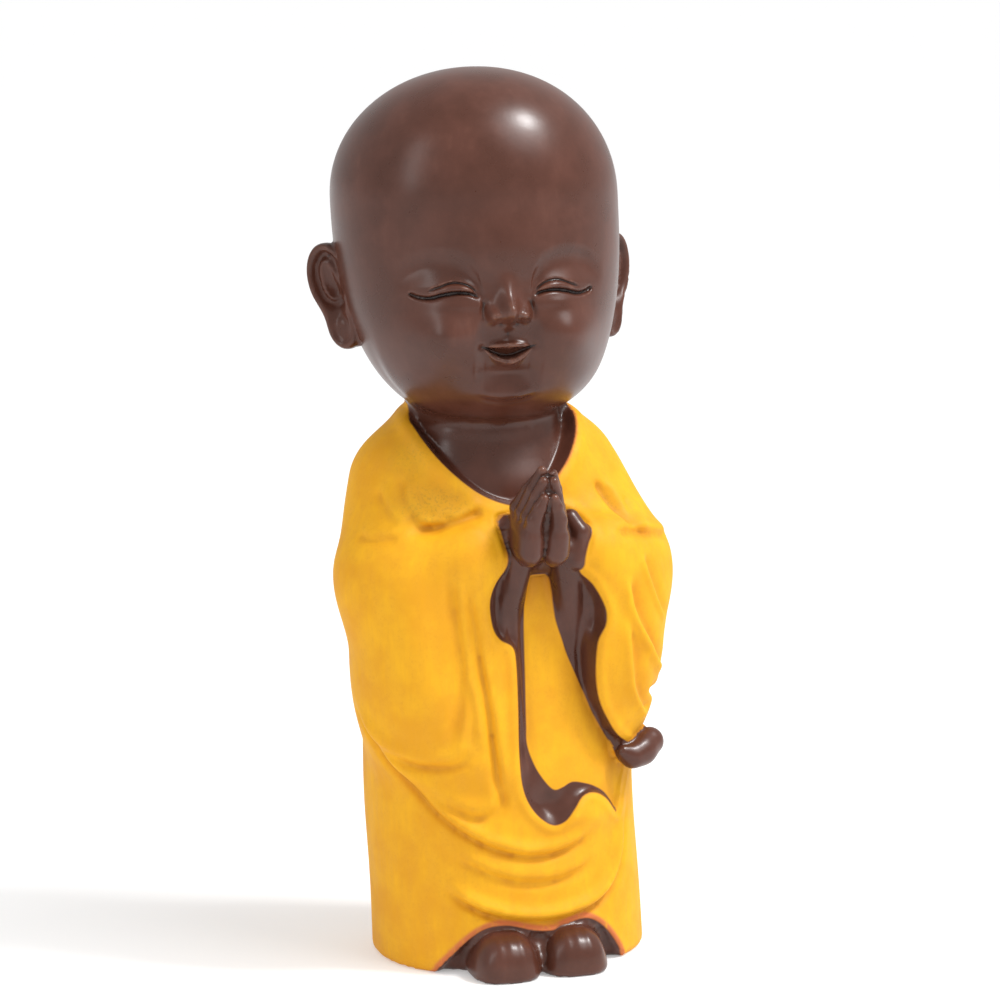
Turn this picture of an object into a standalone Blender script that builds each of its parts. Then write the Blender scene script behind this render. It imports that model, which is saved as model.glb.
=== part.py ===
"""Standing child monk in a long robe, hands pressed together: one solid cast ornament.

Metres, +Z up. The figure faces -Y, its underside lies on the plane z = 0 about the origin,
and its own right hand is on the -X side.
"""

import math

import bpy
import numpy as np
from mathutils import Matrix

FIGURE_HEIGHT = 0.150  # underside to crown

# The figure is carved work: pose, proportions and carving below are written in parts,
# 150 to the figure's height, so that one part is a millimetre at the size above.
PARTS_HIGH = 150.0
PART = FIGURE_HEIGHT / PARTS_HIGH
LEAN = 0.0262  # sideways lean of the whole figure to its right, per part of height
FACE_TURN = math.radians(3.4)  # head turned a little to the figure's right
WRAP_RADIUS = 21.0  # radius on which the fold lines of the robe are laid out
GRAIN = 0.62  # narrowest groove that is cut
FACETS = 9600  # triangles of the finished solid
PLAIN_WEIGHT = 3.0  # how far the plain parts are thinned out before the face and hands
BASE_FLAT = 0.12  # everything this low is levelled to the underside
VOXELS = (1.5, 0.95, 0.6)  # mesh sizes on the way from the rough form to the carved one

RESIN_COLOUR = (0.84, 0.47, 0.012, 1.0)


# Curves and blends

def profile(height, knots):
    """Smooth curve through (height, value) knots, level past its ends."""
    at, value = np.array(knots, float).T
    slope = np.gradient(value, at)
    height = np.clip(height, at[0], at[-1])
    i = np.clip(np.searchsorted(at, height) - 1, 0, len(at) - 2)
    step = at[i + 1] - at[i]
    t = (height - at[i]) / step
    start = (2 * t**3 - 3 * t**2 + 1) * value[i] + (t**3 - 2 * t**2 + t) * step * slope[i]
    end = (3 * t**2 - 2 * t**3) * value[i + 1] + (t**3 - t**2) * step * slope[i + 1]
    return start + end


def union(a, b, blend):
    """Join of two forms, with a fillet of about this size."""
    h = np.clip(0.5 + 0.5 * (b - a) / blend, 0, 1)
    return b + (a - b) * h - blend * h * (1 - h)


def meet(a, b, blend):
    """What two forms share, with its edge eased."""
    return -union(-a, -b, blend)


def ball(p, centre, radii):
    """Distance to an egg shape, below nought inside it."""
    q = (p - np.array(centre, float)) / np.array(radii, float)
    near = np.sqrt((q * q).sum(1))
    q = q / np.array(radii, float)
    return near * (near - 1) / np.maximum(np.sqrt((q * q).sum(1)), 1e-9)


def limb(p, start, end, start_radius, end_radius):
    """Distance to a tapered bar with round ends."""
    start = np.array(start, float)
    along = np.array(end, float) - start
    t = np.clip(((p - start) @ along) / (along @ along), 0, 1)
    q = p - start - t[:, None] * along
    return np.sqrt((q * q).sum(1)) - (start_radius + t * (end_radius - start_radius))


def chain(p, stations, blend):
    """Bars joined end to end through (centre, radius) stations."""
    f = None
    for (a, ra), (b, rb) in zip(stations, stations[1:]):
        bar = limb(p, a, b, ra, rb)
        f = bar if f is None else union(f, bar, blend)
    return f


def bell(u, v, middle, size):
    """One in the middle, falling away smoothly all round."""
    return np.exp(-(((u - middle[0]) / size[0]) ** 2) - ((v - middle[1]) / size[1]) ** 2)


def rise(value, start, end):
    """Nought before the start, one after the end, eased between them."""
    t = np.clip((value - start) / (end - start), 0, 1)
    return t * t * (3 - 2 * t)


def smooth_line(knots, pieces=5):
    """Points of a smooth curve through the knots."""
    k = np.array(knots, float)
    k = np.vstack([2 * k[0] - k[1], k, 2 * k[-1] - k[-2]])
    t = np.linspace(0, 1, pieces, endpoint=False)[:, None]
    made = []
    for a, b, c, d in zip(k, k[1:], k[2:], k[3:]):
        bend = (2 * a - 5 * b + 4 * c - d) * t**2 + (3 * b - a - 3 * c + d) * t**3
        made.append(0.5 * (2 * b + (c - a) * t + bend))
    made.append(k[-2][None])
    return np.vstack(made)


def to_line(u, v, line):
    """Distance to a line, the side of it and the share of its length gone by."""
    best = np.full(u.shape, 1e9)
    side = np.zeros(u.shape)
    share = np.zeros(u.shape)
    count = len(line) - 1
    for i, ((ax, ay), (bx, by)) in enumerate(zip(line, line[1:])):
        dx, dy = bx - ax, by - ay
        t = np.clip(((u - ax) * dx + (v - ay) * dy) / (dx * dx + dy * dy), 0, 1)
        d = (u - ax - t * dx) ** 2 + (v - ay - t * dy) ** 2
        nearer = d < best
        best = np.where(nearer, d, best)
        share = np.where(nearer, (i + t) / count, share)
        side = np.where(nearer, np.sign(dx * (v - ay) - dy * (u - ax)), side)
    return np.sqrt(best), side, share


def inside(u, v, line):
    """Signed distance to a closed line, below nought within it."""
    ring = np.vstack([line, line[:1]])
    within = np.zeros(u.shape, bool)
    for (ax, ay), (bx, by) in zip(ring, ring[1:]):
        if ay != by:
            within ^= ((ay > v) != (by > v)) & (u < ax + (v - ay) * (bx - ax) / (by - ay))
    distance = to_line(u, v, ring)[0]
    return np.where(within, -distance, distance)


def groove(u, v, knots, width, depth, swell=0.0, ends=0.18):
    """Depth of a line cut along the knots, with a swelling on its left hand."""
    wide = max(width, GRAIN)
    distance, side, share = to_line(u, v, smooth_line(knots))
    fade = rise(np.minimum(share, 1 - share), 0, ends)
    cut = depth * np.exp(-((distance / wide) ** 2))
    lift = swell * np.exp(-(((side * distance - 1.7 * wide) / (1.5 * wide)) ** 2))
    return fade * (cut - lift)


def charted(field, low, high, step):
    """The field worked out once on a fine chart and read off from there."""
    across = np.arange(low[0], high[0] + step, step)
    up = np.arange(low[1], high[1] + step, step)
    table = field(*np.meshgrid(across, up, indexing="ij"))

    def read(u, v):
        a = np.clip((u - low[0]) / step, 0, len(across) - 1.001)
        b = np.clip((v - low[1]) / step, 0, len(up) - 1.001)
        i, j = a.astype(int), b.astype(int)
        a, b = a - i, b - j
        near = table[i, j] * (1 - b) + table[i, j + 1] * b
        far = table[i + 1, j] * (1 - b) + table[i + 1, j + 1] * b
        return near * (1 - a) + far * a

    return read


def where_near(p, low, high, form):
    """The form worked out inside a box only, and taken as far off elsewhere."""
    box = ((p > np.array(low, float)) & (p < np.array(high, float))).all(axis=1)
    f = np.full(len(p), 9.0)
    if box.any():
        f[box] = form(p[box])
    return f


# Robe: an oval column with wide sleeves over it. Each table goes up the figure.

HALF_WIDTH = (
    (0, 23.2), (11, 23.0), (40, 22.9), (70, 23.0), (78, 22.4),
    (84.5, 20.6), (88, 18.5), (91.5, 15.6), (95, 11.5), (97, 9.5),
)
FRONT = (
    (0, 20.6), (10, 20.9), (30, 20.6), (50, 20.0), (65, 19.0),
    (78, 17.0), (86, 14.8), (91, 12.6), (95, 10.6), (97, 9.5),
)
BACK = (
    (0, 20.2), (15, 20.0), (50, 18.5), (70, 18.8), (80, 18.4),
    (86, 17.0), (91, 14.0), (95, 10.5), (97, 9.5),
)
PANEL_FRONT = (
    (0, 20.6), (10, 20.9), (22, 20.6), (30, 19.9), (38, 18.8),
    (50, 17.8), (62, 17.4), (72, 17.2), (78, 16.2), (86, 14.0), (97, 9.5),
)
CHEST_HALF = ((70, 15.0), (80, 15.0), (84, 14.6), (87, 13.8), (90, 12.9), (98, 12.4))
CHEST_FRONT = ((70, 14.5), (78, 15.6), (82, 15.0), (86, 13.4), (89, 12.4), (98, 12.0))

# Edges seen from the front as (across, up): the two sleeves part over a straight panel.
SLEEVE_EDGE = (
    (-1.8, 77.2), (-3.2, 76.7), (-3.1, 74.3), (-2.6, 71.0), (-3.0, 68.8), (-4.9, 66.3),
    (-5.9, 63.2), (-5.5, 59.2), (-4.2, 56.9), (-2.0, 55.4), (-1.5, 52.5), (-1.6, 45.0),
    (-1.8, 37.0), (-1.4, 31.3), (0.3, 27.5), (3.0, 25.2), (5.2, 25.5), (7.0, 27.4),
    (8.8, 29.0), (11.0, 29.0), (13.4, 27.6), (15.4, 25.0),
)
FAR_SLEEVE_EDGE = (
    (19.4, 36.2), (15.9, 38.9), (13.6, 42.5), (12.3, 46.0), (11.8, 50.5), (12.2, 55.5),
    (13.6, 58.6), (13.5, 61.5), (11.6, 65.2), (9.4, 67.5), (9.3, 69.4), (10.6, 71.6),
    (11.4, 74.2), (10.6, 76.4), (8.4, 77.2),
)
PANEL_EDGE = (
    (2.4, 67.3), (1.2, 66.4), (0.7, 62.5), (0.5, 56.0), (0.3, 49.0), (0.0, 42.0),
    (-0.1, 38.6), (0.9, 35.1), (2.4, 32.4), (4.0, 30.7), (5.6, 30.9), (7.4, 31.6),
    (9.4, 31.3), (11.6, 29.8), (13.7, 28.0), (15.9, 24.6),
)
FAR_PANEL_EDGE = (
    (19.6, 32.6), (16.8, 35.2), (14.5, 38.6), (12.4, 42.4), (10.9, 46.0), (9.5, 49.4),
    (8.2, 52.6), (7.2, 55.8), (6.3, 58.8), (5.9, 61.5), (5.3, 66.2), (3.8, 67.3),
)
NECKLINE = (
    (0.0, 78.4), (3.1, 79.4), (6.0, 81.0), (9.0, 83.6), (11.4, 86.4),
    (13.2, 89.4), (14.2, 92.2), (14.6, 95.0), (14.6, 104.0),
)
NECKLINE_BACK = 94.6
HEM_ARCH = (
    (-17.0, -4.0), (-16.2, 0.2), (-13.8, 3.4), (-11.2, 6.2), (-8.4, 8.0), (-5.0, 8.2),
    (-1.0, 7.2), (2.5, 6.9), (6.0, 7.9), (9.0, 8.1), (11.6, 6.4), (13.8, 3.6),
    (15.2, 0.8), (16.0, -4.0),
)

# Fold lines: (round the robe, up) knots, then width, depth and swelling beside the cut. A
# depth below nought raises a ridge instead.
FOLDS = (
    # down and under the figure's right sleeve
    (
        ((-9.0, 71.0), (-8.6, 63.0), (-8.1, 57.0), (-7.5, 50.5), (-6.7, 44.0), (-6.2, 38.0),
         (-5.6, 31.5), (-4.8, 27.5)),
        0.8, 0.65, 0.4,
    ),
    (
        ((-11.0, 71.0), (-10.8, 62.0), (-10.3, 53.0), (-10.8, 45.5), (-12.6, 39.0)),
        0.9, 0.5, 0.35,
    ),
    (((-9.4, 51.0), (-9.0, 45.0), (-9.6, 39.5), (-11.8, 36.4)), 0.7, 0.35, 0.25),
    (
        ((-28.5, 46.5), (-24.0, 40.0), (-18.5, 36.2), (-12.5, 35.8), (-9.0, 38.0), (-8.0, 42.0)),
        1.0, 0.6, 0.5,
    ),
    (
        ((-26.0, 43.0), (-21.5, 35.3), (-16.0, 30.0), (-10.5, 27.0), (-6.4, 27.7), (-4.6, 31.0),
         (-4.4, 35.0)),
        1.0, 0.45, 0.35,
    ),
    # lower edge of the upper garment, then the two deep folds of the skirt
    (
        ((-27.5, 45.4), (-24.2, 38.4), (-20.2, 32.3), (-15.0, 26.7), (-9.0, 22.5), (-3.0, 20.2),
         (2.5, 19.9), (7.5, 21.2), (11.0, 23.4)),
        0.8, 0.75, 0.75,
    ),
    (
        ((-14.5, 21.0), (-9.5, 17.9), (-4.0, 15.8), (1.5, 15.2), (7.0, 16.2), (11.5, 18.6)),
        0.9, 0.5, 0.5,
    ),
    (
        ((-16.2, 16.0), (-12.6, 12.6), (-7.6, 10.0), (-1.0, 8.6), (5.5, 8.9), (11.5, 10.6),
         (15.6, 14.2), (18.6, 20.5), (20.8, 28.0)),
        0.85, 0.8, 0.8,
    ),
    # round the figure's left sleeve
    (
        ((15.2, 67.0), (15.8, 61.2), (17.4, 56.8), (20.4, 51.3), (23.8, 48.2)),
        0.8, -0.7, -0.6,
    ),
    (
        ((15.0, 60.0), (15.5, 53.0), (17.0, 47.0), (19.5, 43.0), (22.0, 40.8)),
        0.8, -0.55, -0.5,
    ),
    (((18.2, 69.5), (18.8, 65.7), (20.6, 61.0), (23.2, 56.6)), 0.7, -0.4, -0.4),
    (((20.0, 47.0), (23.0, 45.2), (26.5, 45.0), (30.0, 45.6)), 0.9, 0.9, 0.0),
    # arm pits and the tops of the forearms
    (
        ((-21.6, 84.0), (-20.6, 79.6), (-17.4, 75.9), (-12.5, 75.3), (-8.6, 76.2), (-5.2, 77.2)),
        0.9, 0.75, 0.35,
    ),
    (((-19.4, 82.0), (-17.8, 79.4), (-13.8, 78.0), (-9.0, 78.8)), 0.8, 0.3, 0.2),
    (((-24.6, 81.6), (-22.0, 78.0), (-19.0, 76.0)), 0.7, 0.4, 0.2),
    (((-25.0, 74.6), (-21.5, 73.8), (-18.0, 74.2)), 0.8, 0.3, 0.2),
    (((13.4, 73.2), (17.5, 72.9), (22.5, 71.6), (27.0, 70.2)), 0.9, 0.6, 0.35),
    (((19.0, 81.5), (18.9, 77.0), (18.0, 73.4)), 0.8, 0.6, 0.3),
    (((22.0, 78.5), (20.2, 75.6), (18.4, 73.6)), 0.7, 0.35, 0.2),
)


def draw_folds(s, z):
    """Depth of all the fold lines at a place on the robe."""
    cut = np.zeros(s.shape)
    for knots, width, depth, swell in FOLDS:
        cut = cut + groove(s, z, knots, width, depth, swell)
    return cut


def neckline_field():
    """Signed distance inside the neckline, which is the same on both sides."""
    half = smooth_line(NECKLINE)
    outline = np.vstack([half, half[:0:-1] * (-1, 1)])
    return charted(lambda x, z: inside(x, z, outline), (-26, 70), (26, 104), 0.2)


def edge_field(down, up):
    """Signed distance inside the outline that goes down one edge and back up the other."""
    outline = np.vstack([smooth_line(down), smooth_line(up)])
    return charted(lambda x, z: inside(x, z, outline), (-12, 18), (30, 86), 0.2)


folds_at = charted(draw_folds, (-34, 5), (34, 90), 0.25)
opening_at = edge_field(SLEEVE_EDGE, FAR_SLEEVE_EDGE)
panel_at = edge_field(PANEL_EDGE, FAR_PANEL_EDGE)
neck_at = neckline_field()
hem_at = charted(lambda x, z: inside(x, z, smooth_line(HEM_ARCH)), (-26, -3), (26, 20), 0.2)


def column(p, front, half=HALF_WIDTH):
    """Upright form of oval section: half width across and depth to front and back by height."""
    x, y, z = p.T
    wide = profile(z, half)
    deep = np.where(y < 0, profile(z, front), profile(z, BACK))
    squareness = 2.2
    out = (np.abs(x / wide) ** squareness + np.abs(y / deep) ** squareness) ** (1 / squareness)
    return (out - 1) * np.minimum(wide, deep)


def right_sleeve(p):
    upper = limb(p, (-14.5, -1.5, 80.9), (-18.6, -6.5, 68.0), 9.2, 9.2)
    fore = limb(p, (-18.4, -7.8, 64.5), (-7.6, -16.4, 70.6), 9.1, 6.0)
    hanging = ball(p, (-15.2, -8.0, 55.0), (11.4, 13.6, 23.0))
    hem = ball(p, (-13.5, -7.0, 46.0), (12.0, 14.0, 16.0))
    fall = limb(p, (-8.4, -15.8, 69.0), (-8.8, -14.6, 37.0), 6.0, 5.0)
    return union(union(union(union(upper, fore, 4.0), hanging, 5.0), hem, 3.0), fall, 4.0)


def left_sleeve(p):
    upper = limb(p, (13.4, -1.0, 82.0), (19.2, -6.5, 68.0), 8.4, 9.6)
    fore = limb(p, (19.0, -7.8, 64.5), (13.4, -16.8, 70.2), 9.4, 5.8)
    hanging = ball(p, (15.6, -8.0, 56.5), (11.4, 13.6, 21.0))
    hem = ball(p, (14.6, -8.0, 44.0), (8.8, 11.0, 10.5))
    pouch = union(
        ball(p, (18.2, -8.2, 57.0), (8.9, 11.2, 9.0)),
        ball(p, (17.8, -8.4, 51.2), (8.7, 11.0, 7.0)), 2.0,
    )
    fall = limb(p, (14.6, -15.4, 68.0), (17.0, -12.0, 44.0), 5.4, 4.6)
    f = union(union(union(upper, fore, 4.0), hanging, 5.0), fall, 4.0)
    return union(union(f, hem, 1.6), pouch, 1.4)


def neck_edge(p):
    """How far a point is outside the neckline."""
    x, y, z = p.T
    front = neck_at(x, z)
    return front + (NECKLINE_BACK - z - front) * rise(y, -6, 2)


def front_edges(p):
    """How far a point is outside the gap between the sleeves, and outside the panel in it."""
    x, y, z = p.T
    front = y < -4
    return np.where(front, opening_at(x, z), 20.0), np.where(front, panel_at(x, z), 20.0)


def hem_edge(p):
    """How far a point is outside the arch of the hem."""
    return np.where(p[:, 1] < -4, hem_at(p[:, 0], p[:, 2]), 20.0)


def robe(p):
    x, y, z = p.T
    # the skirt stands a little to the figure's right of its feet
    skirt = p + np.outer(0.5 * np.exp(-(((z - 27) / 12) ** 2)), (1.0, 0.0, 0.0))
    cloth = column(skirt, FRONT)
    cloth = union(cloth, right_sleeve(p), 3.5)
    cloth = union(cloth, left_sleeve(p), 3.5)
    cloth = cloth + folds_at(WRAP_RADIUS * np.arctan2(x, -y), z)
    # the corner of the right sleeve curls over the skirt like a wave
    curl = np.where(y < 0, bell(x, z, (10.0, 26.2), (5.2, 3.0)), 0)
    cloth = cloth - 1.5 * curl
    # soft rolls along the collar and along the edges of the sleeves
    neck = neck_edge(p)
    gap, panel = front_edges(p)
    cloth = cloth - 0.45 * np.exp(-(((neck - 1.3) / 1.2) ** 2))
    cloth = cloth - 0.35 * np.exp(-(((gap - 0.9) / 0.8) ** 2)) * rise(panel, 0, 0.8)
    # between the sleeves the surface falls back to the panel, over the pleated lining
    within = np.clip(-gap, 0, None)
    span = within / np.maximum(within + np.clip(panel, 0, None), 1e-6)
    fall = (1 - (1 - span) ** 2.2) * (1 - rise(x, 16.0, 19.5))
    f = cloth + (column(skirt, PANEL_FRONT) - cloth) * fall
    f = f + 2.2 * rise(within, 0, 1.4) * rise(z, 66, 69.5) * (1 - rise(x, 4, 6))
    pleats = np.sin(2.6 * x + 0.35 * np.sin(0.25 * z)) * rise(z, 32, 38)
    f = f + 0.4 * 4 * span * (1 - span) * pleats
    f = f + 1.0 * bell(x, z, (2.4, 28.2), (2.4, 2.4)) * np.clip(3 * span * (1 - span), 0, 0.6) / 0.6
    # within the collar it falls to the chest
    chest = column(p, CHEST_FRONT, CHEST_HALF)
    f = np.where(neck < 0, union(chest, np.maximum(f, cloth - 2.1 * neck), 0.9), f)
    # the hem lifts in an arch over the feet
    hem = hem_edge(p)
    f = f - 0.3 * np.exp(-(((hem - 0.8) / 0.8) ** 2))
    f = f + 2.2 * (1 - np.exp(1.1 * np.clip(hem, None, 0)))
    f = meet(f, -z, 1.2)
    return meet(f, z - 96.0, 2.0)


def sleeve_tail(p):
    """Corner of the left sleeve, rolled outward past the robe's side like a lip."""
    return chain(p, (
        ((16.6, -16.8, 36.0), 0.9), ((19.4, -15.6, 34.6), 2.2), ((23.2, -13.0, 36.5), 2.4),
    ), 1.2)


def foot(p, side):
    x = p[:, 0] - side * 5.9
    y = p[:, 1] + 18.6 - 0.3 * side
    z = p[:, 2] - 1.4
    x = x * (1 + 0.03 * np.clip(z, 0, 6))
    out = np.abs(x / 5.8) ** 2.9 + np.abs(y / 7.3) ** 2.7 + np.abs(z / 6.3) ** 2.5
    toes = np.cos(x * 2 * math.pi / 2.3) * np.exp(-(((y + 5.0) / 2.8) ** 2))
    toes = toes * rise(z, -1, 3) * np.clip(1.25 - np.abs(x) / 5, 0, 1)
    return (out ** (1 / 2.7) - 1) * 5.5 - 0.05 * toes


def feet(p):
    pair = union(foot(p, -1), foot(p, 1), 0.6 + 1.0 * (1 - rise(p[:, 2], 1.0, 4.0)))
    return meet(pair, -p[:, 2], 0.9)


# Head: an egg with a broad jaw, carved on a chart of the face seen from the front

HEAD_MIDDLE = 128.5
HEAD_UP = 21.5
HEAD_DOWN = 37.3
HEAD_HALF_WIDTH = 24.0
HEAD_HALF_DEPTH = 24.3

EYE_SLIT = (
    (4.4, 113.5), (6.0, 114.2), (8.0, 114.4), (10.0, 114.1), (12.2, 113.5), (14.0, 113.7),
    (15.4, 114.4),
)
BROW = (
    (3.9, 115.0), (4.4, 117.2), (5.4, 119.0), (7.2, 120.3), (9.5, 120.9), (12.0, 120.9),
    (14.5, 120.2), (16.5, 119.0),
)
LID_CREASE = ((4.5, 114.0), (5.9, 115.3), (7.4, 115.9), (9.0, 115.9), (10.7, 115.3), (12.8, 114.5))
NOSE_WING = ((2.6, 113.0), (3.6, 112.7), (4.1, 111.6), (4.0, 110.4), (3.3, 109.6))
CHIN_CREASE = ((-5.6, 97.4), (-2.9, 96.4), (0.0, 96.0), (2.9, 96.4), (5.6, 97.4))


def draw_face(x, z):
    """What is cut from the head at a place on the face."""
    q = np.abs(x)
    # eye sockets, smiling lids, the slits between them and the creases above
    under = profile(q, BROW) - z
    d = 0.8 * rise(under, -0.8, 1.6) * (1 - rise(under, 2.2, 5.5)) * rise(q, 3.0, 4.8)
    d = d * (1 - rise(q, 13.0, 18.0)) + 0.65 * bell(q, z, (3.9, 115.6), (1.5, 2.6))
    d = d - 0.45 * bell(x, z, (0.0, 121.5), (5.0, 4.0))
    d = d - 0.45 * bell(q, z, (8.3, 115.0), (4.0, 1.0)) - 0.35 * bell(q, z, (8.6, 112.6), (4.4, 1.1))
    d = d + groove(q, z, EYE_SLIT, 0.36, 0.7, 0.0, 0.12)
    d = d + groove(q, z, LID_CREASE, 0.26, 0.42, 0.0, 0.15)
    # full cheeks, with the mouth sunk between them
    d = d - 1.5 * bell(q, z, (10.6, 107.4), (5.6, 5.6)) - 0.8 * bell(q, z, (12.5, 101.5), (6.0, 5.0))
    between = 1 - rise(q, 3.4, 5.8)
    d = d + 0.7 * between * rise(z, 97.0, 100.5) * (1 - rise(z, 107.5, 110.0))
    d = d - 0.55 * bell(x, z, (0.0, 105.4), (3.6, 3.4))
    # nose: bridge, tip, wings and nostrils
    d = d - 1.4 * np.exp(-((x / 1.4) ** 2)) * rise(z, 109.5, 112.5) * (1 - rise(z, 112.5, 118.0))
    d = d - 2.6 * bell(x, z, (0.0, 111.1), (1.8, 2.0)) - 1.6 * bell(q, z, (2.6, 110.7), (1.05, 1.15))
    d = d + groove(q, z, NOSE_WING, 0.4, 0.45, 0.0, 0.25)
    d = d + 0.9 * bell(q, z, (1.15, 109.35), (0.62, 0.42))
    d = d + 0.5 * bell(x, z, (0.0, 107.7), (0.55, 0.8))
    # lips and the open smile between them
    upper = 105.75 - 0.03 * x * x - 0.25 * np.exp(-((x / 0.7) ** 2))
    lower = 102.9 + 0.155 * x * x
    d = d - 0.75 * np.exp(-(((z - upper) / 0.62) ** 2)) * np.exp(-((x / 3.2) ** 4))
    d = d - 0.75 * np.exp(-(((z - lower) / 0.6) ** 2)) * np.exp(-((x / 3.1) ** 4))
    low_edge = 103.2 + 0.115 * x * x
    mouth = rise(z, low_edge, low_edge + 0.7) * (1 - rise(z, 104.9, 105.6))
    d = d + 1.0 * mouth * np.exp(-((x / 3.9) ** 6)) + 0.5 * bell(q, z, (4.1, 105.4), (0.6, 0.5))
    # chin and the crease of the double chin
    d = d + 0.3 * bell(x, z, (0.0, 101.2), (4.0, 1.0)) - 0.65 * bell(x, z, (0.0, 97.6), (5.4, 1.8))
    return d + groove(x, z, CHIN_CREASE, 0.5, 0.3, 0.2, 0.3)


face_at = charted(draw_face, (-22, 90), (22, 130), 0.1)


def head(p):
    x, y, z = p.T
    h = z - HEAD_MIDDLE
    down = np.clip(-h / HEAD_DOWN, 0, 1.3)
    up = np.clip(h / HEAD_UP, 0, 1.3)
    shifted = y + 4.5 * down**1.5 + 3.5 * up**2
    flat = np.sqrt((x / HEAD_HALF_WIDTH) ** 2 + (shifted / HEAD_HALF_DEPTH) ** 2)
    squareness = np.where(h > 0, 2.05, 2.6)
    egg = (flat**squareness + (down + up) ** squareness) ** (1 / squareness)
    turned = math.cos(FACE_TURN) * x - math.sin(FACE_TURN) * y
    return (egg - 1) * 23.0 + face_at(turned, z) * rise(-y, 6, 10)


def ear(p, side):
    """A shallow dish with a rolled rim and a long lobe, set slantwise on the head."""
    slant = math.radians(44)
    up = p[:, 2] - 104.0
    x = side * p[:, 0] - 21.6 - 0.09 * up
    y = p[:, 1] + 0.6 - 0.14 * up
    v = up - 8.6
    u = math.cos(slant) * x + math.sin(slant) * y
    w = math.sin(slant) * x - math.cos(slant) * y
    flat = np.stack([u, v, np.zeros(len(u))], 1)
    rim = union(ball(flat, (2.5, 2.6, 0), (4.3, 6.1, 1)), ball(flat, (1.5, -5.2, 0), (2.9, 3.7, 1)), 3.0)
    above_lobe = rise(v, -5, -1)
    face = 0.9 + 0.5 * np.exp(-(((rim + 0.6) / 0.7) ** 2))
    face = face - 1.15 * np.exp(-(((rim + 2.0) / 0.6) ** 2)) * above_lobe
    face = face + 0.35 * np.exp(-(((rim + 3.0) / 0.5) ** 2)) * above_lobe
    face = face - 1.9 * bell(u, v, (1.8, 0.6), (1.5, 2.6)) + 0.9 * bell(u, v, (0.2, 0.4), (0.9, 1.2))
    return meet(meet(w - face, -1.6 - w, 0.8), rim, 1.0)


def ears(p):
    pair = np.full(len(p), 9.0)
    for side in (-1, 1):
        low = (min(side * 16, side * 34), -10, 98)
        high = (max(side * 16, side * 34), 14, 128)
        pair = np.minimum(pair, where_near(p, low, high, lambda near: ear(near, side)))
    return pair


# Hands, pressed palm to palm and leaning forward

HAND_HEEL = (2.2, -22.6, 69.6)
HAND_UP = (0.055, -0.25, 1.0)
# Each finger: place from back to front at the knuckle and at the tip, and its length.
FINGERS = ((-2.9, -1.2, 15.6), (-1.0, 0.5, 17.2), (0.9, 2.0, 15.9), (2.7, 3.2, 13.4))


def hands(p):
    up = np.array(HAND_UP) / np.linalg.norm(HAND_UP)
    across = np.cross((0.0, 1.0, 0.0), up)
    across = across / np.linalg.norm(across)
    forward = np.cross(across, up)
    q = p - np.array(HAND_HEEL)
    a, b, c = q @ across, q @ forward, q @ up
    fillet = 1.5 - 1.3 * rise(c, 5.5, 8.5)
    pair = None
    for side in (-1, 1):
        r = np.stack([side * a, b, c], 1)
        f = ball(r, (2.2, 0.1, 4.1), (2.2, 4.2, 4.5))
        for base, tip, long in FINGERS:
            middle = 0.45 * base + 0.55 * tip
            spread = 2.7 - 0.22 * base
            stations = (
                ((2.2, 0.85 * base, 3.0), 1.8), ((spread, base, 8.6), 1.35),
                ((0.66 * spread, middle, 0.5 * (8.6 + long)), 1.08), ((0.86, tip, long - 0.8), 0.8),
            )
            f = union(f, chain(r, stations, 0.3), fillet)
        f = union(f, limb(r, (2.2, -3.2, 4.0), (0.9, -4.2, 11.0), 1.5, 1.0), 0.5)
        pair = f if pair is None else union(pair, f, 0.15)
    web = limb(np.stack([a, b, c], 1), (0, 0.2, 3.0), (0, 1.4, 12.0), 2.2, 1.3)
    return union(pair, web, 0.2)


def forearms(p):
    """The wrists under the hands, running down into the lining of the sleeves."""
    right = limb(p, (-0.3, -20.6, 70.4), (-2.4, -15.8, 58.0), 2.4, 2.0)
    left = limb(p, (7.4, -20.2, 71.0), (9.6, -15.2, 57.0), 2.7, 2.4)
    return np.minimum(right, left)


def cuff(p):
    """Rolled rim of the left sleeve beside the hands."""
    return chain(p, (((8.8, -19.6, 76.2), 1.6), ((10.0, -20.8, 74.0), 1.6), ((8.8, -21.6, 69.4), 1.4)), 0.5)


def unleaned(p):
    return p + np.outer(p[:, 2], (LEAN, 0.0, 0.0))


def figure(p):
    """Distance to the whole figure from points given in parts."""
    p = unleaned(p)
    f = robe(p)
    f = union(f, where_near(p, (-20, -32, -5), (20, -6, 14), feet), 0.5)
    f = union(f, where_near(p, (10, -24, 28), (32, -6, 44), sleeve_tail), 0.7)
    neck = limb(p, (-0.5, 0.6, 84), (-0.5, -0.6, 97), 12.9, 12.6)
    f = union(f, neck + 0.35 * np.exp(-(((p[:, 2] - 91.2) / 0.7) ** 2)), 0.6)
    f = union(f, union(head(p), ears(p), 0.5), 0.6)
    f = union(f, where_near(p, (-10, -30, 52), (18, -10, 82), forearms), 2.0)
    f = union(f, where_near(p, (2, -30, 60), (16, -12, 82), cuff), 0.8)
    return union(f, where_near(p, (-8, -38, 60), (14, -10, 94), hands), 0.3)


# Rough form: balls that cover every limb, as (centre, radii, turn about the vertical)

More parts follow.
